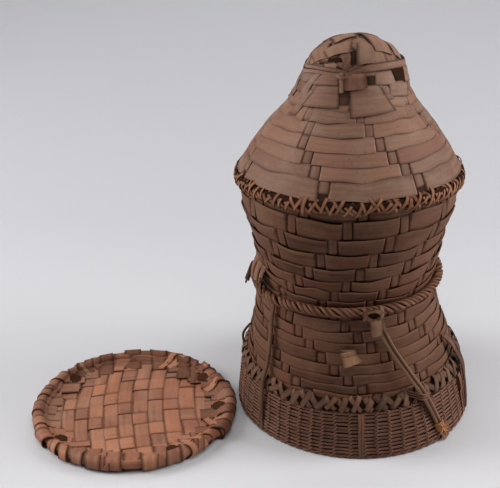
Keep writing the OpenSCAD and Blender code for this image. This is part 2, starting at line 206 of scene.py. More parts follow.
def stake_mid(z):
    foot = FOOT_R - 2.75
    return foot + (SEAM_R + 2 - foot) * z / BAND_H


def leaning(points):
    """Moves the basket's points: its lean, the higher front of its mouth and lid, and its fuller foot."""
    x, y, z = np.array(points, float).T
    on_basket = x > TRAY_SIDE
    ahead = -y / (np.hypot(x, y) + 12)
    full = FOOT_FULL * hump(np.degrees(np.arctan2(x, -y)) - FOOT_FULL_TURN, FOOT_FULL_SPREAD)
    wider = 1 + full * on_basket * (1 - smooth(z / 60)) / FOOT_R
    z = z + on_basket * FRONT_RISE * smooth((z - 180) / 62) * smooth((ahead + 0.15) / 1.05)
    return np.stack([x * wider + on_basket * np.interp(z, LEAN_Z, LEAN_X), y * wider, z], -1)


def off_surface(surface, z, turn, off):
    """Point at a height and turn, moved off a surface along its normal."""
    slope = (surface(z + 1.5) - surface(z - 1.5)) / 3
    long = np.sqrt(1 + slope ** 2)
    return around(surface(z) + off / long, turn, z - off * slope / long)


# Modelling: every strip and strand starts as a grid that is laid along its course

def clear_selection():
    bpy.ops.object.select_all(action="DESELECT")


def lay(along, across, place, length, width, leaf, bent=True):
    """One grid, laid by place(u, v). leaf(u, v) gives tone, redness, and painted shade with some grime, for its finish.
    """
    clear_selection()
    bpy.ops.mesh.primitive_grid_add(x_subdivisions=along, y_subdivisions=across, size=2)
    grid = bpy.context.object
    mesh = grid.data
    flat = np.empty(len(mesh.vertices) * 3)
    mesh.vertices.foreach_get("co", flat)
    u = (flat[0::3] + 1) / 2
    v = (flat[1::3] + 1) / 2
    points = leaning(place(u, v)) if bent else place(u, v)
    mesh.vertices.foreach_set("co", (points * MM).ravel())
    corner = np.empty(len(mesh.loops), int)
    mesh.loops.foreach_get("vertex_index", corner)
    fibre = np.stack([u * length, v * width], 1)[corner] * MM
    mesh.uv_layers[0].data.foreach_set("uv", fibre.ravel())
    finish = np.stack([value + 0 * u for value in (*leaf(u, v), 1)], 1)
    mesh.attributes.new("leaf", "FLOAT_COLOR", "POINT").data.foreach_set("color", np.clip(finish, 0, 1).ravel())
    return grid


def edge_shade(v, start=0.7):
    """Share of painted shade at both edges of a strip, where it meets the strips beside it."""
    return smooth((np.abs(2 * v - 1) - start) / (1 - start))


def ribbon(course, half, lift, tone, red=0.3, edge=0.5, across=3, cup=0.0, bent=True, shade_and_grime=0.0):
    """Flat strip along a course of points, with its half width and its outward direction at each point."""
    course = np.asarray(course, float)
    half, lift = each(half, course), each(lift, course)
    last = len(course) - 1

    def place(u, v):
        i = np.rint(u * last).astype(int)
        s = (2 * v - 1)[:, None]
        return course[i] + half[i] * s + lift[i] * (cup * (1 - s * s))

    # Painted shade along both edges, and painted shade with some grime over the whole strip where more is given
    def leaf(u, v):
        return tone, red, np.maximum(shade_and_grime, edge * edge_shade(v))
    width = 2 * np.linalg.norm(half[last // 2])
    return lay(last, across, place, run_length(course), width, leaf, bent)


def strand(course, side, up, outline, tone, red=0.3, ring=False, shade_and_grime=0.0):
    """Round strand along a course. outline gives its section in the side and up directions."""
    course = np.asarray(course, float)
    lines = course, each(side, course), each(up, course)
    if ring:
        course, side, up = (np.concatenate([a, a[:1]]) for a in lines)
    else:
        course, side, up = (np.concatenate([a[:1], a, a[-1:]]) for a in lines)
    last = len(course) - 1
    size = np.ones(last + 1)
    if not ring:
        size[[0, last]] = 0.0
    sides = len(outline)
    section_shade = np.asarray(shade_and_grime, float) + np.zeros(sides)

    def corner(v):
        return np.rint(v * sides).astype(int) % sides

    def place(u, v):
        i = np.rint(u * last).astype(int)
        o = outline[corner(v)] * size[i][:, None]
        return course[i] + side[i] * o[:, :1] + up[i] * o[:, 1:]
    return lay(last, sides, place, run_length(course), run_length(outline), lambda u, v: (tone, red, section_shade[corner(v)]))


def oval(half_w, half_h, sides=8):
    a = ring_turns(sides)
    return np.stack([half_w * np.cos(a), half_h * np.sin(a)], 1)


def bow(points, steps=12):
    """Smooth course through a few points."""
    points = np.asarray(points, float)
    knots = np.concatenate([[2 * points[0] - points[1]], points, [2 * points[-1] - points[-2]]])
    course = []
    for i in range(len(points) - 1):
        a, b, c, d = knots[i:i + 4]
        for t in np.arange(steps) / steps:
            bend = (2 * a - 5 * b + 4 * c - d) * t ** 2 + (3 * b - a - 3 * c + d) * t ** 3
            course.append(0.5 * (2 * b + (c - a) * t + bend))
    course.append(points[-1])
    return np.array(course)


def by_turn(stops):
    """Points from (turn in degrees, radius, height)."""
    stops = np.asarray(stops, float)
    return around(stops[:, 1], np.radians(stops[:, 0]), stops[:, 2])


def along(course):
    return unit(np.gradient(course, axis=0))


def wisp(stops, width, tone, red=0.3, taper=0.7, flat=None, shade_and_grime=0.0):
    """Thin strip or fibre along a few stops, narrowing to its end. flat: which way its face looks."""
    course = bow(by_turn(stops), 6)
    out = unit(course * LEVEL) if flat is None else each(flat, course)
    narrow = 1 - taper * np.linspace(0, 1, len(course))[:, None]
    half = unit(np.cross(along(course), out)) * width / 2 * narrow
    return ribbon(course, half, out, tone, red, edge=0.6, across=4, cup=width / 15, shade_and_grime=shade_and_grime)


def joined(grids):
    clear_selection()
    for grid in grids:
        grid.select_set(True)
    bpy.context.view_layer.objects.active = grids[0]
    if len(grids) > 1:
        bpy.ops.object.join()
    return grids[0]


def finish_piece(name, grids, finish, body, thick=None, weld=False, nodes=None, slot=None):
    """Joins the laid grids into one named piece, gives strips their thickness, and sets it on its body.
    It stands for the node of its own name, unless others are given. Its slot is worked out but not used."""
    nodes = [name] if nodes is None else nodes
    slot = slot or SLOTS[finish.name]
    piece = joined(grids)
    piece.name = name
    piece.data.name = name
    if weld:
        bpy.ops.object.mode_set(mode="EDIT")
        bpy.ops.mesh.select_all(action="SELECT")
        bpy.ops.mesh.remove_doubles(threshold=0.000002)
        bpy.ops.mesh.normals_make_consistent(inside=False)
        bpy.ops.object.mode_set(mode="OBJECT")
    if thick:
        leaf = piece.modifiers.new("leaf thickness", "SOLIDIFY")
        leaf.thickness = thick * MM
        leaf.offset = 0
        bpy.ops.object.modifier_apply(modifier=leaf.name)
    bpy.ops.object.shade_smooth_by_angle(angle=math.radians(45))
    piece.data.materials.clear()
    piece.data.materials.append(finish)
    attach(piece, body)
    if nodes:
        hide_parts(*nodes)


# Finishes

def rgb(r, g, b):
    return (r, g, b, 1.0)


def finish_nodes(name):
    finish = bpy.data.materials.new(name)
    finish.use_nodes = True
    tree = finish.node_tree
    return finish, tree, tree.nodes["Principled BSDF"]


def feed(tree, socket, value):
    if isinstance(value, bpy.types.NodeSocket):
        tree.links.new(value, socket)
    else:
        socket.default_value = value


def node(tree, kind, values=None, **settings):
    made = tree.nodes.new(kind)
    for key, value in settings.items():
        setattr(made, key, value)
    for key, value in (values or {}).items():
        feed(tree, made.inputs[key], value)
    return made


def mixed(tree, share, first, second):
    mix = node(tree, "ShaderNodeMix", {0: share, 6: first, 7: second}, data_type="RGBA", clamp_factor=True)
    return mix.outputs[2]


def leaf_finish(name, dark, pale, red, dusty, dust=0.25, rough=(0.55, 0.8), fine=1300.0, relief=0.35, gloss=0.2):
    """Dry split leaf or cane: lengthwise fibres, tones that differ from strip to strip, worn patches, painted shade
    with some grime in gaps.
    """
    finish, tree, shader = finish_nodes(name)
    leaf = node(tree, "ShaderNodeAttribute", attribute_name="leaf").outputs["Color"]
    tone, redness, shade_and_grime = node(tree, "ShaderNodeSeparateColor", {0: leaf}).outputs
    place = node(tree, "ShaderNodeTexCoord").outputs

    def sums(kind, first, second, clamp=False):
        return node(tree, "ShaderNodeMath", {0: first, 1: second}, operation=kind, use_clamp=clamp).outputs[0]

    def noise(at, scale, detail, uneven=0.5):
        values = {"Vector": at, "Scale": scale, "Detail": detail, "Roughness": uneven}
        return node(tree, "ShaderNodeTexNoise", values).outputs[0]

    def lengthwise(long, wide):
        return node(tree, "ShaderNodeMapping", {"Vector": place["UV"], "Scale": (long, wide, 1.0)}).outputs[0]

    def ranged(value, low, high, to_low=0.0, to_high=1.0):
        values = {"Value": value, "From Min": low, "From Max": high, "To Min": to_low, "To Max": to_high}
        return node(tree, "ShaderNodeMapRange", values).outputs[0]

    def deeper(share):
        return rgb(*(share * c for c in dark))

    fibre = noise(lengthwise(38.0, fine), 1.0, 4.0, 0.6)
    band = noise(lengthwise(16.0, fine / 5), 1.0, 2.0)
    patch = noise(place["Object"], 34.0, 3.0, 0.6)
    speck = noise(place["Object"], 420.0, 2.0)
    share = sums("ADD", sums("MULTIPLY", tone, 0.7), sums("MULTIPLY", ranged(fibre, 0.3, 0.7), 0.24))
    share = sums("ADD", share, sums("MULTIPLY", ranged(band, 0.32, 0.68), 0.34))
    share = sums("SUBTRACT", share, 0.2, clamp=True)
    colour = mixed(tree, share, rgb(*dark), rgb(*pale))
    colour = mixed(tree, sums("MULTIPLY", redness, 0.55), colour, rgb(*red))
    colour = mixed(tree, ranged(patch, 0.48, 0.72, 0.0, dust), colour, rgb(*dusty))
    colour = mixed(tree, ranged(speck, 0.62, 0.78, 0.0, 0.45), colour, deeper(0.45))
    # Painted shade: the leaf colour's third value darkens the colour in gaps, under rows and in holes, with some grime
    colour = mixed(tree, sums("MULTIPLY", shade_and_grime, 0.93), colour, deeper(0.25))
    grain = sums("ADD", fibre, sums("MULTIPLY", band, 0.8))
    bump = node(tree, "ShaderNodeBump", {"Height": grain, "Strength": relief, "Distance": 0.0006})
    feed(tree, shader.inputs["Base Color"], colour)
    feed(tree, shader.inputs["Roughness"], ranged(fibre, 0.3, 0.7, *rough))
    # Painted shade also takes away the sheen
    feed(tree, shader.inputs["Specular IOR Level"], sums("MULTIPLY", sums("SUBTRACT", 1.0, shade_and_grime), gloss))
    feed(tree, shader.inputs["Normal"], bump.outputs[0])
    return finish


# Each finish: dark, pale, reddish and dusty colour
lid_finish = leaf_finish("lid leaf", (0.08, 0.0395, 0.0248), (0.28, 0.157, 0.102),
                         (0.23, 0.0945, 0.0587), (0.276, 0.184, 0.134), dust=0.4)
wall_finish = leaf_finish("wall leaf", (0.0517, 0.0216, 0.0121), (0.19, 0.0927, 0.053),
                          (0.149, 0.0597, 0.0335), (0.23, 0.134, 0.0837), gloss=0.12)
foot_finish = leaf_finish("foot cane", (0.056, 0.0238, 0.0144), (0.21, 0.1, 0.06),
                          (0.196, 0.075, 0.0408), (0.266, 0.144, 0.09), fine=1500.0)
lash_finish = leaf_finish("lashing strips", (0.0675, 0.0276, 0.0143), (0.297, 0.138, 0.0726),
                          (0.338, 0.126, 0.0572), (0.338, 0.18, 0.105), fine=1200.0, relief=0.6)
seam_finish = leaf_finish("seam strips", (0.052, 0.0235, 0.0133), (0.212, 0.107, 0.061),
                          (0.19, 0.079, 0.042), (0.25, 0.143, 0.088), fine=1200.0, relief=0.6)
rope_finish = leaf_finish("twisted rope", (0.052, 0.0207, 0.0115), (0.247, 0.115, 0.063),
                          (0.208, 0.0805, 0.042), (0.286, 0.155, 0.0893), relief=0.7)
strut_finish = leaf_finish("split cane", (0.072, 0.0341, 0.018), (0.264, 0.143, 0.082),
                           (0.216, 0.0935, 0.052), (0.3, 0.182, 0.11), rough=(0.45, 0.7))
cord_finish = leaf_finish("binding cord", (0.162, 0.0576, 0.018), (0.446, 0.198, 0.075),
                          (0.446, 0.168, 0.055), (0.459, 0.24, 0.11), fine=1900.0)
pale_finish = leaf_finish("pale leaf", (0.13, 0.066, 0.038), (0.42, 0.225, 0.125),
                          (0.36, 0.17, 0.09), (0.38, 0.24, 0.15))
tray_finish = leaf_finish("tray leaf", (0.165, 0.0645, 0.0365), (0.483, 0.213, 0.11),
                          (0.47, 0.163, 0.081), (0.469, 0.276, 0.182), dust=0.3, rough=(0.45, 0.72), gloss=0.3)
SLOTS = {"lid leaf": "lid_leaf", "wall leaf": "wall_leaf", "foot cane": "foot_cane", "lashing strips": "lashing_leaf",
         "seam strips": "lashing_leaf", "twisted rope": "rope_leaf", "split cane": "strut_cane",
         "binding cord": "binding_cord", "pale leaf": "pale_leaf", "tray leaf": "tray_leaf"}


# Plaited walls

def row_height(name):
    low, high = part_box(name)
    return low.z / MM, high.z / MM


def weft(name, surface, count, behind, seed, finish, body, lean, tone, uneven, edge, painted_top_edge_light, painted_side_light,
         swell=0.7, down=0.0, dent=None, vary=0.28, across=5, clear=0.31):
    """Level strip round a wall. It lies in front of the upright strips, but behind the ones that are listed.
    lean: how far its upper edge stands out. edge: painted shade along its lower edge, under the row above. bare:
    painted highlight along its upper edge where positive, painted shade there where negative.
    down: how much further down it reaches. clear: half width of the place where it is behind, in upright strips."""
    low, high = row_height(name)
    low -= down
    dice = np.random.default_rng(seed)
    low_edge, high_edge = wander(seed + 1, 19, uneven), wander(seed + 11, 19, uneven)
    stand, low_shade_wander = wander(seed + 3, 13, 0.3), wander(seed + 4, 15, 0.7)
    shades, reds = dice.uniform(-vary, vary, count), dice.uniform(0.05, 0.9, count)
    behind_shade_depths = dice.uniform(0.4, 1.0, (2, count))
    stops = np.sort(np.array(behind) % count)
    stops = np.concatenate([[stops[-1] - count], stops, [stops[0] + count]])

    def spans(turn):
        """Distance to the nearest upright strip in front, share of the way between two of them, and which two."""
        w = (turn / TAU * count) % count
        j = np.clip(np.searchsorted(stops, w, side="right"), 1, len(stops) - 1)
        left, right = stops[j - 1], stops[j]
        return np.minimum(w - left, right - w), (w - left) / (right - left), j % (len(stops) - 2)

    def place(u, v):
        turn = math.pi + u * TAU
        d, share, _ = spans(turn)
        over = smooth((d - clear) / 0.2)
        z = low - 0.35 + (high - low + 0.7) * v + low_edge(turn) * (1 - v) + high_edge(turn) * v
        front = 1.75 + swell * np.sin(math.pi * share) + lean * (v - 0.5) + stand(turn) - 0.2 * (2 * v - 1) ** 2
        off = over * front - 0.95
        if dent:
            off = off - dent(turn, v)
        return off_surface(surface, z, turn, off)

    def leaf(u, v):
        turn = math.pi + u * TAU
        d, share, j = spans(turn)
        # Painted shade where the strip goes behind an upright strip, along its lower edge under the row above, and in
        # the torn place of the neck
        behind_shade = (1 - smooth((d - clear - 0.05) / 0.1)) * np.where(share < 0.5, behind_shade_depths[0][j], behind_shade_depths[1][j])
        low_edge_shade = edge * np.clip(0.75 + low_shade_wander(turn), 0.1, 1.3) * smooth((0.18 - v) / 0.18)
        shade_and_grime = np.maximum(behind_shade, low_edge_shade)
        if dent:
            shade_and_grime = np.maximum(shade_and_grime, np.clip(dent(turn, v) / 3, 0, 1))
        # Painted light: paler at the sides and darker at the front (the other way round on the lid), with a painted
        # highlight along the upper edge (painted shade there on the lid)
        pale = painted_side_light * (np.sin(turn) ** 2 - 0.4) + 0.5 * painted_top_edge_light * smooth((v - 0.8) / 0.2)
        return tone + shades[j] + pale, reds[j], shade_and_grime
    grid = lay(count * 14, across, place, TAU * 90, high - low, leaf)
    finish_piece(name, [grid], finish, body, thick=0.9, weld=True)


def warp(k, surface, count, low, high, steps, width, seed, tone):
    """Upright strip, which comes out in front of the level strips in its own rows (steps gives their heights)."""
    dice = np.random.default_rng(seed * 1000 + k)
    middle = k / count * TAU
    tilt, shade, red = dice.normal(0, 0.004), tone + dice.uniform(-0.2, 0.2), dice.uniform(0.05, 0.7)

    def out(z):
        show = np.zeros_like(z)
        for a, b in steps:
            show = np.maximum(show, smooth((z - a + 0.9) / 1.8) * smooth((b + 0.9 - z) / 1.8))
        return show

    def place(u, v):
        z = low + (high - low) * u
        turn = middle + tilt * np.sin(u * 9) + (v - 0.5) * width(z) / surface(z)
        return off_surface(surface, z, turn, out(z) * (1.3 + 0.35 * (1 - (2 * v - 1) ** 2)) - 0.8)

    def leaf(u, v):
        # Painted shade where the strip goes behind the level strips, and along both its edges
        hidden = 1 - smooth((out(low + (high - low) * u) - 0.25) / 0.4)
        return shade, red, np.maximum(0.5 * edge_shade(v), 0.9 * hidden)
    return lay(max(8, int((high - low) / 1.7)), 5, place, high - low, 10.0, leaf)


def upright(name, surface, count, shows, rows, low, high, width, finish, body, seed, tone):
    heights = [row_height(row) for row in rows]
    strips = []
    for k in range(count):
        steps = [height for height, show in zip(heights, shows) if k in [place % count for place in show]]
        strips.append(warp(k, surface, count, low, high, steps, width, seed, tone))
    finish_piece(name, strips, finish, body, thick=0.8)


def wall_width(z):
    return wall_mid(z) * TAU / WARPS * WARP_SHARE


def lid_width(z):
    return np.maximum(LID_WARP_LEAST, lid_mid(z) * TAU / LID_WARPS * LID_WARP_SHARE)


def torn(turn, v):
    """Place at the right of the neck where the strips have pulled in under the crown's band."""
    return 5.0 * np.exp(-(away(turn, TORN_TURN) / 10) ** 4) * smooth((v - 0.25) / 0.4)


LOWER = [f"lower_weft_{i}" for i in range(1, 11)]
UPPER = [f"upper_weft_{i}" for i in range(1, 9)]
LID = [f"lid_weft_{i}" for i in range(1, 10)]

# The upright strips that show in each row. Their steps go right on the way down below the waist, and left above it
lower_shows = [[4 - i + k for k in (-20, -15, -10, -5, 0, 5, 10, 15, 20, 24)] for i in range(1, 11)]
upper_shows = [[(i + 1) % 4 + 4 * k for k in range(12)] for i in range(1, 9)]
lid_shows = [[-2, 6, 15, 25, 35, 45], [-3, 5, 14, 24, 34, 44], [-4, 4, 13, 23, 33, 43],
             [-5, 3, 12, 22, 32, 42], [-5, 2, 11, 21, 31, 40], [-6, 1, 10, 20, 30, 39],
             [-7, 0, 9, 19, 29, 38], [-7, -1, 6, 15, 24, 33, 42], [-7, 4, 13, 22, 31, 40]]

for i, name in enumerate(LOWER):
    weft(name, wall_mid, WARPS, lower_shows[i], 100 + 10 * i, wall_finish, "basket",
         lean=1.5, tone=0.37, uneven=1.0, edge=0.75, painted_top_edge_light=1.6, painted_side_light=0.12)
for i, name in enumerate(UPPER):
    weft(name, wall_mid, WARPS, upper_shows[i], 200 + 10 * i, wall_finish, "basket",
         lean=2.0, tone=0.32, uneven=1.6 if i < 7 else 0.6, edge=0.75, painted_top_edge_light=1.4, painted_side_light=0.6,
         down=0.0 if i else 3.0)
for i, name in enumerate(LID):
    weft(name, lid_mid, LID_WARPS, lid_shows[i], 300 + 10 * i, lid_finish, "lid",
         lean=-0.6, tone=0.5, uneven=0.8, edge=0.4, painted_top_edge_light=-0.9, painted_side_light=-0.3,
         swell=0.5, down=0.0 if i else 4.8, dent=torn if i == 8 else None, vary=0.42, across=7, clear=0.41)

upright("lower_warps", wall_mid, WARPS, lower_shows, LOWER, SEAM_Z, WAIST_Z - 0.4, wall_width,
        wall_finish, "basket", seed=41, tone=0.4)
upright("upper_warps", wall_mid, WARPS, upper_shows, UPPER, WAIST_Z + 0.4, MOUTH_Z, wall_width,
        wall_finish, "basket", seed=42, tone=0.4)
upright("lid_warps", lid_mid, LID_WARPS, lid_shows, LID, LID_Z, CROWN_Z, lid_width,
        lid_finish, "lid", seed=43, tone=0.5)


# Foot ring: level laths of fine cane inside and outside upright stakes, bound to them with a slanting strand

def foot_ring():
    pitch = (BAND_H - FOOT_HOOP_H) / BAND_ROWS
    strands = []
    turn = ring_turns(STAKES * 4)
    for row in range(BAND_ROWS):
        dice = np.random.default_rng(500 + row)
        z = FOOT_HOOP_H + (row + 0.5) * pitch + wander(520 + row, 21, 0.28)(turn)
        uneven = wander(540 + row, 15, 0.15)(turn)
        for side, half_h in ((1, 0.36 * pitch), (-1, 0.44 * pitch)):
            radius = stake_mid(z) + side * (1.9 + 0.22 * np.cos(STAKES * turn)) + uneven
            strands.append(strand(around(radius, turn, z), outward(turn), UP, oval(0.8, half_h),
                                  dice.uniform(0.3, 0.6), dice.uniform(0.1, 0.6), ring=True))
    t = np.linspace(0, 1, BAND_ROWS * 5 + 1)
    step = (t * BAND_ROWS) % 1
    outside = 0.75
    slant = np.where(step < outside, step / outside, (1 - step) / (1 - outside)) * 2 - 1
    z = FOOT_HOOP_H + 0.4 + t * (BAND_H - FOOT_HOOP_H)
    radius = stake_mid(z) + np.where(step < outside, 3.15, 2.4)
    for k in range(STAKES):
        dice = np.random.default_rng(560 + k)
        middle = (k + dice.normal(0, 0.05)) / STAKES * TAU
        bound = middle + (slant * 1.5 + 0.6 * np.sin(t * 7 + k)) / FOOT_R
        strands.append(strand(around(radius, bound, z), outward(bound), sideways(bound), oval(0.55, 0.85, 6),
                              dice.uniform(0.4, 0.85), dice.uniform(0.1, 0.6)))
    finish_piece("foot_twining", strands, foot_finish, "basket", weld=True,
                 nodes=["foot_twining", "foot_inner_strands"])

    z = np.linspace(FOOT_HOOP_H - 0.5, BAND_H, 9)
    stakes = [strand(around(stake_mid(z), turn + 0 * z, z), outward(turn), sideways(turn), oval(1.0, 1.7), 0.45, 0.3)
              for turn in ring_turns(STAKES)]
    finish_piece("foot_stakes", stakes, foot_finish, "basket", weld=True)

    turn = ring_turns(STAKES * 8)
    edge = []
    for ply in range(3):
        phase = TAU * (turn / TAU * STAKES / 2 + ply / 3)
        course = around(FOOT_R - 2.7 + 1.5 * np.cos(phase), turn, 2.1 + 0.75 * np.sin(phase))
        edge.append(strand(course, outward(turn), UP, oval(1.2, 1.3, 6), 0.4, 0.3, ring=True))
    finish_piece("foot_hoop", edge, foot_finish, "basket", weld=True)


foot_ring()


# Stitches and hoops

def set_round(models, turns, seed, sway, size, shade, rise):
    """Copies of the models, set round the basket's axis. Each has its own mesh, and is a little turned, sized and
    toned of its own."""
    dice = np.random.default_rng(seed)
    made = []
    for turn in turns:
        model = models[int(dice.integers(len(models)))]
        copy = model.copy()
        copy.data = model.data.copy()
        bpy.context.scene.collection.objects.link(copy)
        middle = Vector(np.mean([v.co for v in copy.data.vertices], axis=0))
        own = (Matrix.Translation(middle + Vector((0, 0, dice.normal(0, rise) * MM)))
               @ Matrix.Rotation(dice.normal(0, sway), 4, "Y")
               @ Matrix.Diagonal((1 + dice.normal(0, size), 1, 1 + dice.normal(0, size), 1))
               @ Matrix.Translation(-middle))
        copy.data.transform(Matrix.Rotation(turn, 4, "Z") @ own)
        corners = np.array([v.co for v in copy.data.vertices])
        copy.data.vertices.foreach_set("co", (leaning(corners / MM) * MM).ravel())
        finish = copy.data.attributes["leaf"].data
        tones = np.empty(len(finish) * 4)
        finish.foreach_get("color", tones)
        tones[0::4] = np.clip(tones[0::4] + dice.uniform(-shade, shade), 0, 1)
        tones[1::4] = np.clip(tones[1::4] + dice.uniform(-0.25, 0.25), 0, 1)
        finish.foreach_set("color", tones)
        made.append(copy)
    for model in models:
        bpy.data.objects.remove(model)
    return made


def cross_stitch(rim, edge, low, high, spread, width, tone, red, shut=0.0):
    """Two strips that cross over a rim at the front. rim: its heights and radii. shut brings their lower ends
    together."""
    legs = []
    t = np.linspace(0, 1, 9)
    z = low + (high - low) * t
    tuck = smooth(t / 0.16) * smooth((1 - t) / 0.16)
    out = np.array([0.0, -1.0, 0.25])
    for way, over in ((1, 0.8), (-1, 0.1)):
        side = way * spread * ((2 * t - 1) if not shut else (t * (1 + shut) - shut * 0.55))
        radius = np.interp(z, *rim) - 2.2 * (1 - tuck) + over * np.sin(math.pi * t)
        course = np.stack([side, -radius, z], 1)
        half = unit(np.cross(along(course), out)) * (width / 2) * (0.9 + 0.2 * t)[:, None]
        legs.append(ribbon(course, half, out, tone, red, edge=edge, across=4, cup=0.1, bent=False))
    return joined(legs)


def seam_and_rim():
    # Each model: lower end, upper end, half spread, width, tone, redness, shut
    seam = [40, 46, 52, 60, 64], [109.6, 109.0, 107.0, 103.4, 101.8]
    models = [(46.8, 58.4, 4.4, 5.4, 0.35, 0.2), (46.4, 57.8, 3.6, 5.8, 0.4, 0.15), (47.2, 59.0, 5.0, 4.8, 0.3, 0.25),
              (46.8, 58.2, 5.0, 5.2, 0.3, 0.2, 1.0), (46.4, 58.6, 4.8, 5.4, 0.45, 0.1, 0.6)]
    turns = ring_turns(SEAM_STITCHES) + TAU / SEAM_STITCHES / 2
    stitches = set_round([cross_stitch(seam, 0.45, *model) for model in models], turns, 61,
                         sway=0.14, size=0.1, shade=0.3, rise=0.6)
    loose = wisp([(-88, 94.4, 80), (-88, 99.5, 75.5), (-88, 104.0, 69.5), (-88, 105.8, 63.5), (-87.5, 105.2, 59),
                  (-87, 103.0, 55.5)], 2.4, 0.1, 0.2, 0.2, flat=(0.0, -1.0, 0.3), shade_and_grime=0.3)
    finish_piece("seam_lashing", stitches + [loose], seam_finish, "basket", thick=0.6)

    rim = [235, 240, 244, 248], [104.6, 105.8, 105.4, 103.0]
    models = [(235.4, 247.6, 4.4, 2.9, 0.5, 0.6), (235.0, 247.2, 3.6, 3.2, 0.3, 0.7),
              (235.8, 248.0, 5.0, 2.6, 0.6, 0.5),
              (235.2, 247.4, 4.4, 3.1, 0.4, 0.7, 1.0), (235.4, 247.6, 4.6, 2.8, 0.6, 0.45, 0.5)]
    stitches = set_round([cross_stitch(rim, 0.8, *model) for model in models], ring_turns(RIM_STITCHES), 62,
                         sway=0.2, size=0.12, shade=0.45, rise=0.7)
    finish_piece("lid_lashing", stitches, lash_finish, "lid", thick=0.7)


def hoop(name, body, radius, z, half_w, half_h, seed, slope=0.0):
    """Bent cane hoop, a little uneven, with a flattened round section."""
    turn = ring_turns(240)
    course = around(radius + wander(seed, 9, 0.25)(turn), turn, z + wander(seed + 1, 9, 0.3)(turn))
    # Painted shade darkens the hoop nearly all over, as it lies under stitches and rims
    ring = strand(course, outward(turn), unit(outward(turn) * slope + UP), oval(half_w, half_h), 0.35, 0.35,
                  ring=True, shade_and_grime=0.95)
    finish_piece(name, [ring], foot_finish, body, weld=True)


seam_and_rim()
hoop("seam_hoop", "basket", 104.4, 51.5, 1.0, 5.2, seed=71, slope=-0.4)
hoop("lid_hoop", "lid", 104.0, 242.6, 1.6, 4.4, seed=73)
hoop("mouth_hoop", "basket", 97.2, 241.0, 1.2, 3.0, seed=75)


# Rope round the waist, its knot and its frayed ends

def waist_rope():
    """Two plies, each of two strips that lie side by side, twisted round each other."""
    turn = ring_turns(ROPE_TWISTS * 16)
    sag = ROPE_SAG * hump(away(turn, ROPE_SAG_TURN), 28)
    core = around(ROPE_MID + 0.12 * sag + wander(82, 7, 0.4)(turn), turn, WAIST_Z - sag + wander(81, 7, 0.8)(turn))
    a = ring_turns(16)
    groove = hump((a + math.pi) % TAU - math.pi, 0.42)
    section = np.stack([2.3 * np.cos(a) * (1 - 0.45 * groove), 3.3 * np.sin(a)], 1)
    # Painted shade in the groove and on the side of each ply that faces the other ply
    section_shade = np.maximum(0.8 * groove, smooth((0.15 - np.cos(a)) / 0.7))
    plies = []
    for ply in range(2):
        uneven = wander(83, 29, 0.4)(turn) + 0.2 * wander(84 + ply, 31, 1.0)(turn)
        phase = -ROPE_TWISTS * turn + ply * math.pi + uneven
        off = outward(turn) * np.cos(phase)[:, None] + UP * np.sin(phase)[:, None]
        course = core + off * ROPE_PLY
        ahead = unit(np.roll(course, -1, 0) - np.roll(course, 1, 0))
        plies.append(strand(course, off, unit(np.cross(ahead, off)), section, 0.45 + 0.25 * ply, 0.5,
                            ring=True, shade_and_grime=section_shade))
    finish_piece("waist_rope", plies, rope_finish, "basket", weld=True)


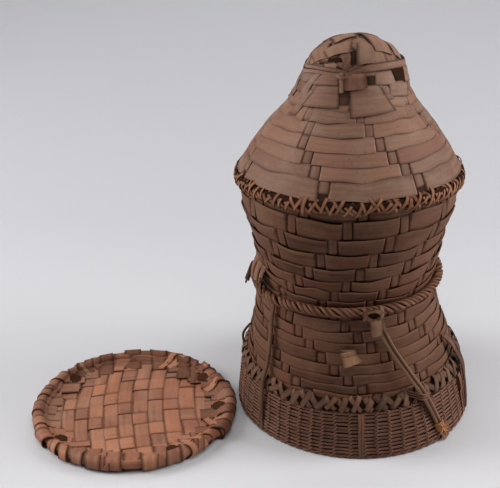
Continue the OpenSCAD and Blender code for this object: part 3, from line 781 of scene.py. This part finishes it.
def rope_ends():
    # Loop of flat strip that stands out of the rope round a dark hole, with frayed fibres to the left of it. The hole
    # is a dark strip inside the loop, painted shade.
    dice = np.random.default_rng(84)
    knot = [wisp([(10, 91.5, 139), (12, 95.5, 144.5), (15.5, 97.5, 146.5), (19, 96, 143), (19.8, 92, 136.5)],
                 4.0, 0.75, 0.3, 0.0),
            wisp([(9.5, 92.5, 142), (12, 94.5, 137.5), (15.5, 95.5, 135), (18.5, 93.5, 136.5), (20.5, 91.5, 141)],
                 4.2, 0.4, 0.4, 0.0),
            wisp([(9.8, 90.5, 147), (10.6, 93.5, 146), (10.8, 95, 141), (10.2, 94, 135.5), (9.6, 90, 133)],
                 4.4, 0.4, 0.4, 0.1),
            wisp([(11.5, 93.2, 140), (15.5, 93.8, 140.5), (19, 93.0, 140)], 8.5, 0.0, 0.2, 0.0, shade_and_grime=1.0)]
    for _ in range(9):
        end = dice.uniform(-1.5, 6)
        stops = [(13, 94, 136 + dice.normal(0, 0.8)), (9, 93.5, 134 + dice.normal(0, 0.8)),
                 (end, 90.5 + dice.uniform(0, 2), 132.5 + dice.normal(0, 1.3))]
        knot.append(wisp(stops, dice.uniform(1.0, 2.6), dice.uniform(0.1, 0.75), shade_and_grime=dice.uniform(0, 0.8)))
    finish_piece("rope_knot", knot, rope_finish, "basket", thick=0.6)

    tuft = []
    for _ in range(18):
        lean, out = dice.normal(0, 1.0), dice.uniform(-1, 1)
        stops = [(-82 + lean * 0.3, 89.2, 149 + dice.normal(0, 0.6)),
                 (-83 + lean * 0.5, 90.4 + 0.4 * out, 151.0 + dice.normal(0, 0.7)),
                 (-83.5 + lean, 92.6 + 1.0 * out, 145),
                 (-84 + 1.6 * lean, 95.2 + 2.7 * out, 133.5 + dice.normal(0, 1.6))]
        tuft.append(wisp(stops, dice.uniform(1.6, 2.8), dice.uniform(0.6, 1.1), 0.2, 0.35, flat=(0.1, -1.0, 0.3)))
    # Broad worn strip ends that lie over the rope beside the tuft
    for at, width, low, tone in ((-77.5, 13.0, 143.0, 0.85), (-69.5, 13.5, 145.0, 0.75), (-62.5, 9.0, 148.5, 0.5)):
        stops = [(at, 85.6, 162), (at, 88.4, 158), (at + 0.5, 90.6, 153.5), (at + 1.0, 91.9, 149),
                 (at + 1.8, 92.8, low)]
        tuft.append(wisp(stops, width, tone, 0.1, 0.1))
    for i in range(8):
        at = -78 + 2.4 * i
        stops = [(at, 91.0, 150), (at + 0.8, 92.9, 144.5), (at + 2.5, 93.4, 139 + dice.normal(0, 1.5))]
        tuft.append(wisp(stops, dice.uniform(1.6, 3.0), dice.uniform(0.4, 0.9), 0.2, 0.5))
    finish_piece("rope_tail", tuft, rope_finish, "basket", thick=0.5)


waist_rope()
rope_ends()


# Side canes and their ties

def cane_course(stops):
    course = bow(by_turn(stops), 8)
    side = unit(np.cross(along(course), unit(course * LEVEL)))
    return course, side, unit(np.cross(side, along(course)))


def boxed(half_w, half_h):
    """Section of a split cane, with rounded corners."""
    a = ring_turns(16)
    return np.stack([half_w * np.sign(np.cos(a)) * np.abs(np.cos(a)) ** 0.7, half_h * np.sin(a)], 1)


def right_cane():
    # A strip folded on itself, with a groove down its outside and its end spread out at the foot. The groove, and the
    # side towards the wall, get painted shade.
    folded = boxed(3.7, 1.7)
    folded[:, 1] -= np.where(folded[:, 1] > 0, 1.15 * hump(folded[:, 0], 1.1), 0)
    groove = np.where(folded[:, 1] > -0.3, 0.9 * hump(folded[:, 0], 1.2), 0.4)
    course = cane_course([(18.5, 87.6, 137), (20.0, 89.0, 130), (25.4, 96.5, 104), (32.6, 107.6, 76),
                          (37, 110.2, 60), (41, 112.2, 42), (46, 112.7, 17), (47.2, 113.6, 9.5)])
    cane = [strand(*course, folded, 0.5, 0.35, shade_and_grime=groove),
            wisp([(46.2, 114.0, 14), (47.2, 115.4, 8), (48.2, 116.6, 2.5)], 6.0, 0.6, 0.3, -0.5),
            wisp([(46.4, 113.0, 14), (48.0, 114.2, 8), (49.8, 115.0, 3.5)], 4.5, 0.45, 0.3, -0.4)]
    finish_piece("right_strut", cane, strut_finish, "basket", weld=True)


def left_cane():
    course = cane_course([(-49, 87.4, 135), (-49.3, 88.9, 128), (-49, 93.6, 104), (-48.6, 101.2, 76),
                          (-49, 107.4, 60), (-49, 111.2, 46), (-49.4, 112.2, 24), (-49, 113.0, 3)])
    cane = strand(*course, boxed(2.5, 1.4), 0.25, 0.3, shade_and_grime=0.35)
    finish_piece("left_strut", [cane], strut_finish, "basket", weld=True)


def cane_ties():
    # Folded strip over the rope and the right cane's top, and the cord over the cane at the seam
    loop = [wisp([(20.6, 89.0, 146), (20.4, 93.0, 143.5), (19.8, 95.8, 139), (18.8, 95.6, 135), (18.0, 94.4, 131)],
                 3.6, 0.6, 0.3, 0.0),
            wisp([(16.6, 92.0, 137.0), (16.8, 95.4, 134.0), (17.2, 96.4, 129.5), (17.6, 95.6, 123.5),
                  (18.0, 95.8, 119.0)], 12.0, 0.8, 0.25, 0.0),
            wisp([(20.6, 93.8, 133), (21.0, 95.3, 130), (22.0, 96.4, 125), (23.2, 97.2, 121)], 4.0, 0.4, 0.3, 0.2)]
    finish_piece("strut_loop", loop, strut_finish, "basket", thick=0.9)

    keeper = []
    for z, lift in ((53.5, 0.0), (50.8, 0.5), (56.0, 0.2)):
        course = cane_course([(31.5, 104.5, z + 3), (34, 107.5, z + 1.5), (37.0, 113.4 + lift, z),
                              (40.2, 111.2, z - 1.5), (43.5, 106.4, z - 2.5)])
        keeper.append(strand(*course, oval(0.95, 0.95, 6), 0.5, 0.4))
    finish_piece("strut_keeper", keeper, rope_finish, "basket", weld=True)


def cane_binding():
    # Cord wound round the right cane's lower end, and its loose ends
    rounds = 5
    t = np.linspace(0, 1, rounds * 14 + 1)
    spin = t * rounds * TAU
    core, side, up = cane_course([(45.4, 112.4, 20.5), (45.9, 112.7, 17.5), (46.3, 112.9, 14.5), (46.7, 113.3, 11.5)])
    last = len(core) - 1
    i = np.rint(t * last).astype(int)
    reach = side[i] * (4.9 * np.cos(spin))[:, None] + up[i] * (2.9 * np.sin(spin))[:, None]
    course = np.stack([np.interp(t, np.linspace(0, 1, last + 1), core[:, c]) for c in range(3)], 1) + reach
    # Painted shade on the side of the cord that lies against the cane
    wound = [strand(course, unit(reach), np.cross(unit(reach), along(course)), oval(0.65, 0.75, 6), 0.5, 0.7,
                    shade_and_grime=np.array([0, 0, 0.5, 0.9, 0.5, 0]))]
    ends = ((50.5, 115.0, 6.0), (51.5, 114.4, 12.0), (43.0, 116.2, 9.0),
            (49.0, 116.0, 19.0), (44.6, 116.4, 20.5), (48.6, 116.6, 4.0))
    for i, end in enumerate(ends):
        stops = [(46.5, 116.0, 14), ((46.5 + end[0]) / 2, 117.0, (14 + end[2]) / 2), end]
        wound.append(wisp(stops, 2.2, (0.75, 0.3)[i % 2], 0.7))
    finish_piece("strut_binding", wound, cord_finish, "basket", weld=True)


def tab_and_clips():
    # Strip end that comes out of the wall and is folded down
    tab = [wisp([(1.2, 90.4, 102.0), (1.2, 93.4, 103.0), (1.4, 95.4, 101.0), (1.8, 96.4, 97.0), (2.2, 96.8, 94.0)],
                14.0, 0.1, 0.4, -0.1),
           wisp([(2.0, 96.6, 99.6), (2.5, 97.4, 97.0), (3.0, 98.2, 95.0), (3.6, 99.0, 92.6)], 15.0, 0.75, 0.4, -0.25)]
    finish_piece("strip_tab", tab, pale_finish, "basket", thick=0.9)

    # Clips over the foot ring, and folded strips over it at the right
    clips = []
    for turn, tone, red in ((4.4, 0.5, 0.6), (5.8, 0.3, 0.3), (70.0, 0.5, 0.7), (71.6, 0.35, 0.5)):
        clips.append(wisp([(turn + 0.2, 108.6, 45), (turn, 109.6, 41), (turn + 0.1, 110.8, 30), (turn - 0.1, 112.4, 15),
                           (turn, 113.3, 4), (turn, 112.6, 1.2)], 3.0, tone, red, 0.2))
        clips.append(wisp([(turn + 0.2, 109.4, 45.5), (turn + 0.1, 110.9, 41), (turn + 0.2, 111.9, 33),
                           (turn - 0.2, 111.8, 28)], 3.2, 1.0, 1.0, 0.4))
    clips += [wisp([(74, 102.6, 76), (74.5, 106.5, 67), (75, 111.2, 55), (75, 113.2, 42), (74, 114.6, 24),
                    (73.5, 114.6, 7)], 6.5, 0.2, 0.3, -0.1, shade_and_grime=0.35),
              wisp([(78, 101.8, 78), (78.5, 107.0, 66), (78, 111.6, 53), (78, 112.6, 42), (77, 113.6, 26)],
                   4.5, 0.2, 0.4, 0.2, shade_and_grime=0.35),
              wisp([(71, 97.0, 86), (72, 101.0, 81), (73, 104.4, 75), (73.5, 105.6, 70)], 6.5, 0.35, 0.3, -0.1)]
    finish_piece("foot_clips", clips, foot_finish, "basket", thick=0.9)


right_cane()
left_cane()
cane_ties()
cane_binding()
tab_and_clips()


# Crown of the lid: wide strip ends folded and crossed over the top, tied round with a narrow strip

def on_dome(x, y, off):
    """Point of the crown, from a place that is measured along the dome from its top."""
    far = np.sqrt(x * x + y * y) + 1e-6
    a = far / DOME_ARC
    full = 1 + 0.03 * np.sin(2 * a) ** 2
    flat = DOME_R * full * np.sin(np.minimum(a, 1.45)) + off * np.sin(a) * (1 - 0.6 * smooth((a - 0.9) / 0.5))
    z = DOME_MID_Z + DOME_RISE * full * np.cos(a) + off * np.cos(a)
    return np.stack([flat * x / far, flat * y / far, z], -1)


def crossed_strips():
    reach = 57.0
    dice = np.random.default_rng(91)
    strips = []
    for family, heading in ((0, math.radians(34)), (1, math.radians(-52))):
        ahead_x, ahead_y = math.sin(heading), math.cos(heading)
        for i in range(-3, 4):
            width, slant = dice.uniform(16.5, 19.5), dice.normal(0, 0.05)
            shift = i * CROWN_STRIP + dice.normal(0, 1.3)
            shade, red = dice.uniform(0.2, 0.6), dice.uniform(0.05, 0.6)
            tiles = dice.uniform(-0.4, 0.4, 16)
            long = math.sqrt(max(120.0, reach ** 2 - shift ** 2))

            def place(u, v):
                s = (2 * u - 1) * long
                t = shift + (v - 0.5) * width + slant * s
                wave = np.cos(math.pi * s / CROWN_STRIP) * (1 if (i + family) % 2 else -1)
                off = 0.9 * np.sign(wave) * np.sqrt(np.abs(wave)) + 0.9 + 0.5 * (1 - (2 * v - 1) ** 2)
                return on_dome(s * ahead_x + t * ahead_y, s * ahead_y - t * ahead_x, off)

            def leaf(u, v):
                tile = np.clip(np.floor((2 * u - 1) * long / CROWN_STRIP + 8), 0, 15).astype(int)
                # Painted shade along both edges, in the slits between the strips
                return shade + tiles[tile], red, smooth((np.abs(2 * v - 1) - 0.76) / 0.2)
            strips.append(lay(40, 5, place, 2 * long, width, leaf))
    return strips


def crown():
    strips = crossed_strips()
    # Broad ends over them: far left, far right, near left and near right corner, lift, tone, redness, painted shade.
    # The first two are dark leaves for the painted shade in holes under the others, and every end has painted shade
    # along its sides.
    ends = [((-24, -32.5), (-11, -37), (-24.5, -36.5), (-11, -42), 2.5, 0.0, 0.2, 1.0),
            ((-4.5, -31), (1, -31), (-4, -45), (1, -45), 2.5, 0.0, 0.2, 1.0),
            ((-38, 2), (-19, -12), (-38, -26), (-23, -33), 2.9, 0.65, 0.3, 0.0),
            ((-27, -21), (-2, -21), (-24, -33), (-3.5, -34), 3.3, 0.9, 0.35, 0.0),
            ((1, -20), (21, -23), (1.5, -46), (33, -36), 3.1, 0.6, 0.15, 0.0),
            ((-20, 5), (-5, 9), (-16, -21.5), (1, -16), 4.2, 1.0, 0.3, 0.0),
            ((-2.5, 2), (13, 14), (16, -30), (31, -23), 4.0, 0.72, 0.6, 0.0),
            ((20, 10), (34, 16), (33, -18), (43, -12), 3.0, 0.6, 0.4, 0.0),
            ((-30, 24), (-12, 36), (-24, 8), (-8, 16), 3.0, 0.6, 0.3, 0.0),
            ((2, 40), (24, 32), (-2, 22), (16, 14), 3.4, 0.7, 0.3, 0.0)]
    for *corners, lift, tone, red, shade_and_grime in ends:
        def place(u, v):
            x, y = between(corners, v, u).T
            return on_dome(x, y, lift - 1.4 * (1 - smooth(u / 0.2)) - 0.5 * (2 * v - 1) ** 2)

        def leaf(u, v):
            return tone, red, np.maximum(shade_and_grime, 0.8 * smooth((np.abs(2 * v - 1) - 0.82) / 0.16))
        strips.append(lay(10, 8, place, 24.0, 18.0, leaf))
    finish_piece("lid_crown", strips, lid_finish, "lid", thick=0.9)

    # Two turns of the band, which cross at the front
    turn = math.pi + np.arange(181) / 180 * TAU
    near = away(turn, CROWN_CROSSING)
    out = outward(turn)
    bands = []
    for way in (1, -1):
        cross = np.tanh(near / 14.0) * way
        z = CROWN_BAND_Z - hump(near, 30.0) + 2.0 * cross + wander(95 + way, 9, 0.5)(turn)
        ear = 1.8 * hump(near - 88, 16.0)
        broad = smooth(near / 25) * smooth((150 - near) / 50) if way > 0 else 0 * near
        radius = np.minimum(lid_mid(z) + 1.6, CROWN_BAND_R) + 0.7 * (1 - np.abs(cross)) * way + ear
        radius = radius + wander(98 + way, 7, 0.3)(turn)
        half = (1.7 * UP - out * 0.4) * (1 + 1.1 * broad)[:, None]
        bands.append(ribbon(around(radius, turn, z + 2.0 * broad), half, out, 0.5 + 0.1 * way, 0.4,
                            edge=0.9, across=4, cup=0.4))
    finish_piece("crown_band", bands, lid_finish, "lid", thick=1.0)

    tie = [wisp([(-13.4, 47.6, 344), (-13.2, 49.4, 341), (-12.8, 49.7, 337), (-12.2, 50.8, 332), (-11.4, 52.2, 327.5)],
                4.0, 0.95, 0.3, 0.05),
           wisp([(0.5, 46.6, 343.5), (0.6, 48.6, 340.5), (1.2, 49.2, 335.5), (2.0, 50.4, 330.5)],
                19.0, 0.5, 0.9, -0.05),
           wisp([(-19, 48.2, 342.0), (-14, 50.1, 341), (-9, 50.2, 341), (-3, 48.6, 342.5)], 4.0, 0.6, 0.4, 0.1)]
    finish_piece("crown_tie", tie, lid_finish, "lid", thick=0.8)


def neck_ends():
    """Broad strip ends that come down from under the crown's band and cover the neck's level strips."""
    dice = np.random.default_rng(96)
    # Upper left, upper right, lower left and lower right corner by turn and height, lift, tone, redness, painted shade.
    # The first, second and twelfth are dark leaves for the painted shade in recesses under the band.
    ends = [((13, 342), (24, 342), (14, 332.5), (23, 332.5), 2.3, 0.1, 0.2, 0.9),
            ((-15, 331), (-3, 331), (-13, 317), (-4, 317), 2.3, 0.1, 0.3, 0.7),
            ((-46, 342.5), (-37, 342.5), (-66, 322), (-55, 322), 2.4, 0.55, 0.2, 0.0),
            ((-37, 341), (-16.5, 342), (-48, 330.5), (-15.5, 332), 2.7, 0.35, 0.6, 0.0),
            ((-56, 334), (-45, 334), (-70, 311), (-57, 311), 2.5, 0.6, 0.2, 0.0),
            ((-40.5, 330), (-15, 331.5), (-50, 312), (-12, 314), 2.9, 0.45, 0.5, 0.0),
            ((-53, 326), (-44, 326), (-62, 304), (-51, 304), 2.5, 0.5, 0.3, 0.0),
            ((22.5, 343.5), (46, 343), (22, 332.5), (49, 330.5), 2.7, 0.7, 0.2, 0.0),
            ((38, 334), (74, 333), (37, 321), (64, 319), 2.8, 0.5, 0.3, 0.0),
            ((-4, 330.5), (27, 331.5), (-1.5, 307), (40, 310), 3.0, 0.66, 0.4, 0.0),
            ((28.5, 331), (37, 331), (34, 319), (42, 319), 2.5, 0.45, 0.3, 0.0),
            ((44, 345), (70, 344), (48, 333.5), (66, 333), 3.4, 0.0, 0.2, 1.0),
            ((67, 347), (84, 346), (63, 331.5), (80, 331), 4.0, 0.55, 0.4, 0.0)]
    for middle in (98, 132, 170, 206, 240, 270):
        a, b, c, d = dice.normal(0, 3, 4)
        top, foot = 333 + dice.normal(0, 2), 311 + dice.normal(0, 4)
        ends.append(((middle - 18 + a, top), (middle + 17 + b, top + 1), (middle - 20 + c, foot),
                     (middle + 19 + d, foot - 1), 2.6 + 0.15 * a, dice.uniform(0.3, 0.7), dice.uniform(0.1, 0.5), 0.0))
    leaves = []
    for *corners, lift, tone, red, shade_and_grime in ends:
        def place(u, v):
            turn, z = between(corners, u, 1 - v).T
            off = lift - 0.5 - 1.2 * smooth((v - 0.8) / 0.2) - 0.4 * (2 * u - 1) ** 2
            return off_surface(lid_mid, z, np.radians(turn), off)

        def leaf(u, v):
            # Painted shade along the sides and at the lower end
            edge = np.maximum(edge_shade(u, 0.9), 0.6 * smooth((0.08 - v) / 0.08))
            return tone, red, np.maximum(shade_and_grime, 0.75 * edge)
        leaves.append(lay(12, 9, place, 30.0, 20.0, leaf))
    finish_piece("neck_ends", leaves, lid_finish, "lid", thick=0.8, nodes=[])


crown()
neck_ends()


# Floor of the basket and the tray

def plait(names, finish, body, thick, middle, turned, radius, floor, widths, seed, tone,
          rough=1.0, step=2, shaded=0.0, crowd=0.0, slope=0.0):
    """Round plait of two families of strips, one piece each. Every strip goes over and under the other family's.
    step: the first family goes under one strip in so many. shaded: width of the dark edge under a rim.
    crowd: how far the strips are pushed to the left at the middle. slope: how steeply they rise to the right there."""
    dice = np.random.default_rng(seed)
    most = 20
    rows = np.arange(-most, most + 1)
    tops = np.where((rows[:, None] + rows[None]) % step == 0, -1.0, 1.0)
    swell = [(dice.uniform(0.02, 0.06), dice.uniform(0, TAU), dice.uniform(0, TAU)) for _ in range(5)]
    c, n = math.cos(turned), math.sin(turned)
    for family, (name, own, other) in enumerate(zip(names, widths, widths[::-1])):
        strips = []
        count = int(radius // own) + 1
        for i in range(-count, count + 1):
            shift = i * own
            if abs(shift) > radius - 2:
                continue
            long = math.sqrt(radius ** 2 - max(0, abs(shift) - own * 0.3) ** 2)
            width, shade = own * dice.uniform(0.94, 1.03), tone + dice.uniform(-0.16, 0.16)
            red = dice.uniform(0.15, 0.6)
            tiles, reds = dice.uniform(-0.3, 0.3, 40), dice.uniform(-0.4, 0.45, 40)
            bend, start = dice.normal(0, 0.7) * rough, dice.uniform(0, TAU)
            line = tops[i + most] if family == 0 else -tops[:, i + most]

            def above(s):
                """Whether the strip lies on top along its length, and how near it is to a place where that changes."""
                cell = np.clip(np.floor(s / other).astype(int) + most, 0, 2 * most - 1)
                part = (s / other) % 1
                change = line[cell + 1] - line[cell]
                on_top = line[cell] + change * smooth((part - 0.34) / 0.32)
                return on_top, np.abs(change) / 2 * (1 - smooth(np.abs(part - 0.5) / 0.13))

            def place(u, v):
                s = (2 * u - 1) * long
                t = shift + (v - 0.5) * width + bend * np.sin(s / 34 + start)
                x, y = (t, s) if family == 0 else (s, t)
                inside = np.minimum(1, (radius + 1) / np.hypot(x, y))
                x, y = x * inside, y * inside
                free = np.maximum(0, 1 - (x * x + y * y) / radius ** 2)
                x, y = x - crowd * free, y + slope * x * (1 - (1 - free) ** 2)
                z = floor + 0.85 * above(s)[0] + 0.35 * (1 - (2 * v - 1) ** 2)
                for rate, way, at in swell:
                    z = z + 0.3 * rough * np.sin(rate * (x * math.cos(way) + y * math.sin(way)) + at)
                return np.stack([middle[0] + x * c - y * n, middle[1] + x * n + y * c, z], -1)

            def leaf(u, v):
                s = (2 * u - 1) * long
                tile = np.clip(np.floor(s / other + 0.5) + most, 0, 2 * most - 1).astype(int)
                # Painted shade along the strips' edges and where they go under the other family, and under the rim when
                # shaded is given
                shade_and_grime = np.maximum(0.65 * edge_shade(v, 0.8), 0.45 * above(s)[1])
                if shaded:
                    far = np.hypot(s, shift + (v - 0.5) * width)
                    shade_and_grime = np.maximum(shade_and_grime, 0.95 * smooth((far - radius + shaded) / 5))
                return shade + tiles[tile], red + reds[tile], shade_and_grime
            strips.append(lay(max(12, int(2 * long / other * 10)), 8, place, 2 * long, width, leaf))
        finish_piece(name, strips, finish, body, thick=thick)


def tray_hoop():
    turn = ring_turns(160)
    radius = TRAY_HOOP_R + 1.4 * np.cos(turn) ** 2 + wander(131, 9, 0.6)(turn)
    core = strand(around(radius, turn, TRAY_HOOP_Z + wander(132, 9, 0.5)(turn)) + TRAY, outward(turn), UP,
                  oval(TRAY_HOOP_T, TRAY_HOOP_T, 10), 0.15, 0.5, ring=True, shade_and_grime=0.1)
    finish_piece("tray_hoop", [core], tray_finish, "tray", weld=True, slot="foot_cane")


def tray_rim():
    """Strip ends folded over the hoop. Each one keeps its own direction in the mat, so they lean at the corners and
    leave holes there."""
    dice = np.random.default_rng(133)
    height = np.array([6.2, 6.4, 7.0, 8.6])
    over = np.radians(np.linspace(160, -95, 11))
    turn = np.linspace(0, TAU, 121)
    # A dark ring under the folds, painted shade in the gaps between them
    wraps = [ribbon(around(87.5, turn, 2.6) + TRAY, outward(turn) * 5.5, UP, 0.0, 0.2, edge=1.0, across=4)]

    def fold(at, lean, fat, lift, reach, wide, tone, drift=0.0, shade_and_grime=0.0):
        inner = np.array([77, 81, 84.0, 86.0]) + np.array([reach, reach * 0.7, 0, 0])
        roll = TRAY_FOLD_R + 1.5 * math.cos(at) ** 2 + fat * np.cos(over)
        radius = np.concatenate([inner, roll]) + dice.normal(0, 0.7)
        z = np.concatenate([height + lift * 0.5, np.maximum(1.5, TRAY_HOOP_Z + fat * np.sin(over) + 0.6 * lift)])
        side = lean * (radius - 92) + drift * np.linspace(-1, 1, len(radius)) + dice.normal(0, 1.2)
        across = sideways(np.array(at))
        course = bow(around(radius, at + 0 * radius, z) + across * side[:, None] + TRAY, 2)
        out = unit(np.cross(across + 0 * course, along(course)))
        out = out * np.sign(out[:, 2].sum() + 1e-9)
        spread = wide * (1 + dice.normal(0, 0.12) * np.linspace(-1, 1, len(course)))[:, None]
        wraps.append(ribbon(course, unit(np.cross(out, along(course))) * spread, out, tone, dice.uniform(0.0, 0.65),
                            edge=0.9, across=5, cup=dice.uniform(-0.2, 0.2), shade_and_grime=shade_and_grime))

    for k in range(TRAY_FOLDS):
        at = (k + dice.normal(0, 0.12)) / TRAY_FOLDS * TAU
        slant = (math.atan2(-math.cos(at), math.sin(at)) - TRAY_TURN + math.pi / 4) % (math.pi / 2) - math.pi / 4
        lean = -math.tan(np.clip(slant, -0.62, 0.62))
        wide = dice.uniform(3.6, 5.5) if abs(slant) > 0.66 else dice.uniform(6.8, 9.2)
        # Painted shade on the folds towards the back, and on the even ones towards the right too
        if k % 2:
            shade = dice.uniform(0.1, 0.5) * (0.1 + 0.9 * smooth(0.3 - math.cos(at)))
            fold(at, lean, dice.uniform(5.1, 5.5), dice.uniform(-0.8, 0.0), dice.uniform(-9, 3), wide + 0.8,
                 dice.uniform(-0.1, 0.4), shade_and_grime=shade)
        else:
            shade = 0.6 * smooth(-0.1 - math.cos(at)) + 0.25 * smooth(math.sin(at))
            fold(at, lean, dice.uniform(5.7, 6.3), dice.uniform(-0.6, 0.3), dice.uniform(-9, 3), wide,
                 dice.uniform(-0.1, 0.55), shade_and_grime=shade)
        if abs(slant) > 0.35 and dice.random() < 0.6:
            fold(at + dice.normal(0, 0.03), -lean * dice.uniform(0.5, 1.0), dice.uniform(5.6, 6.4),
                 dice.uniform(-0.2, 0.7), dice.uniform(-4, 3), dice.uniform(2.4, 4.6), dice.uniform(0.1, 0.7),
                 drift=dice.normal(0, 3))
    # Holes where the strips part at the mat's corners, each a dark strip of painted shade
    for degrees in TRAY_HOLES:
        at = math.radians(degrees)
        course = by_turn([(degrees, 77, 6.4), (degrees, 81, 7.2), (degrees, 85, 8.4), (degrees, 88.5, 9.8)]) + TRAY
        width = np.interp(np.arange(10), [0, 3, 7, 9], [2.0, 6.5, 5.5, 2.0]) + dice.normal(0, 0.7, 10)
        wraps.append(ribbon(bow(course, 3), sideways(np.array(at)) * width[:, None], UP, 0.0, 0.2,
                            edge=1.0, across=4, shade_and_grime=1.0))
    finish_piece("tray_rim", wraps, tray_finish, "tray", thick=1.0)


plait(("floor_strips_across", "floor_strips_along"), wall_finish, "basket", 0.8,
      (0, 0), 0.0, FLOOR_R, FLOOR_Z, (FLOOR_STRIP, FLOOR_STRIP), seed=110, tone=0.4)
plait(("tray_strips_across", "tray_strips_along"), tray_finish, "tray", 0.9,
      TRAY, TRAY_TURN, MAT_R, MAT_Z, MAT_STRIPS, seed=120, tone=0.41,
      rough=2.2, step=3, shaded=9.0, crowd=9.0, slope=0.14)
tray_hoop()
tray_rim()

# Camera, at the photograph's view. Its focal length is in the photograph's pixels
PHOTO_WIDTH = 500
FOCAL_LENGTH = 1254
SENSOR = 36.0
CAMERA_AT = (0, -1.07325, 0.70891)
pitch, yaw, roll = math.radians(26.79), math.radians(-5.11), math.radians(-1.65)
ahead = Vector((math.sin(yaw) * math.cos(pitch), math.cos(yaw) * math.cos(pitch), -math.sin(pitch)))
right = ahead.cross(Vector((0, 0, 1))).normalized()
over = right.cross(ahead)
right, over = right * math.cos(roll) + over * math.sin(roll), over * math.cos(roll) - right * math.sin(roll)
camera = bpy.data.objects.new("camera", bpy.data.cameras.new("camera"))
bpy.context.scene.collection.objects.link(camera)
camera.data.sensor_fit = "HORIZONTAL"
camera.data.sensor_width = SENSOR
camera.data.lens = FOCAL_LENGTH / PHOTO_WIDTH * SENSOR
camera.data.clip_end = 50
facing = Matrix((right, over, -ahead)).transposed().to_4x4()
camera.matrix_world = Matrix.Translation(CAMERA_AT) @ facing
bpy.context.scene.camera = camera

# Floor, light and view
clear_selection()
bpy.ops.mesh.primitive_plane_add(size=14, location=(0, 2, 0))
floor = bpy.context.object
floor.name = "floor"
floor_finish, floor_tree, floor_shader = finish_nodes("pale floor")
place = node(floor_tree, "ShaderNodeTexCoord").outputs["Object"]
depth = node(floor_tree, "ShaderNodeSeparateXYZ", {0: place}).outputs[1]
# The floor is painted darker towards the back: painted shade
far_floor_shade = node(floor_tree, "ShaderNodeMapRange", {"Value": depth, "From Min": -2.3, "From Max": -1.6}).outputs[0]
floor_colour = mixed(floor_tree, far_floor_shade, rgb(0.61, 0.6, 0.612), rgb(0.486, 0.485, 0.508))
feed(floor_tree, floor_shader.inputs["Base Color"], floor_colour)
floor_shader.inputs["Roughness"].default_value = 0.75
floor_shader.inputs["Specular IOR Level"].default_value = 0.2
floor.data.materials.append(floor_finish)


def soft_lamp(name, place, target, width, height, power):
    lamp = bpy.data.objects.new(name, bpy.data.lights.new(name, "AREA"))
    bpy.context.scene.collection.objects.link(lamp)
    lamp.data.shape = "RECTANGLE"
    lamp.data.size = width
    lamp.data.size_y = height
    lamp.data.energy = power
    lamp.location = place
    lamp.rotation_euler = (Vector(target) - Vector(place)).to_track_quat("-Z", "Y").to_euler()


soft_lamp("left softbox", (-1.7, 0.0, 0.85), (0, 0, 0.15), 0.9, 1.2, 30.5)
soft_lamp("right softbox", (1.7, 0.05, 0.85), (0, 0, 0.15), 0.9, 1.2, 36)
soft_lamp("top softbox", (0, -0.5, 1.9), (0, -0.15, 0), 1.5, 1.3, 14.8)
soft_lamp("back softbox", (0, 1.9, 1.6), (0, 1.7, 0), 2.4, 0.8, 20)
world = bpy.data.worlds.new("studio")
bpy.context.scene.world = world
world.use_nodes = True
world.node_tree.nodes["Background"].inputs["Color"].default_value = rgb(0.97, 0.98, 1.0)
world.node_tree.nodes["Background"].inputs["Strength"].default_value = 0.115
bpy.context.scene.view_settings.view_transform = "Standard"
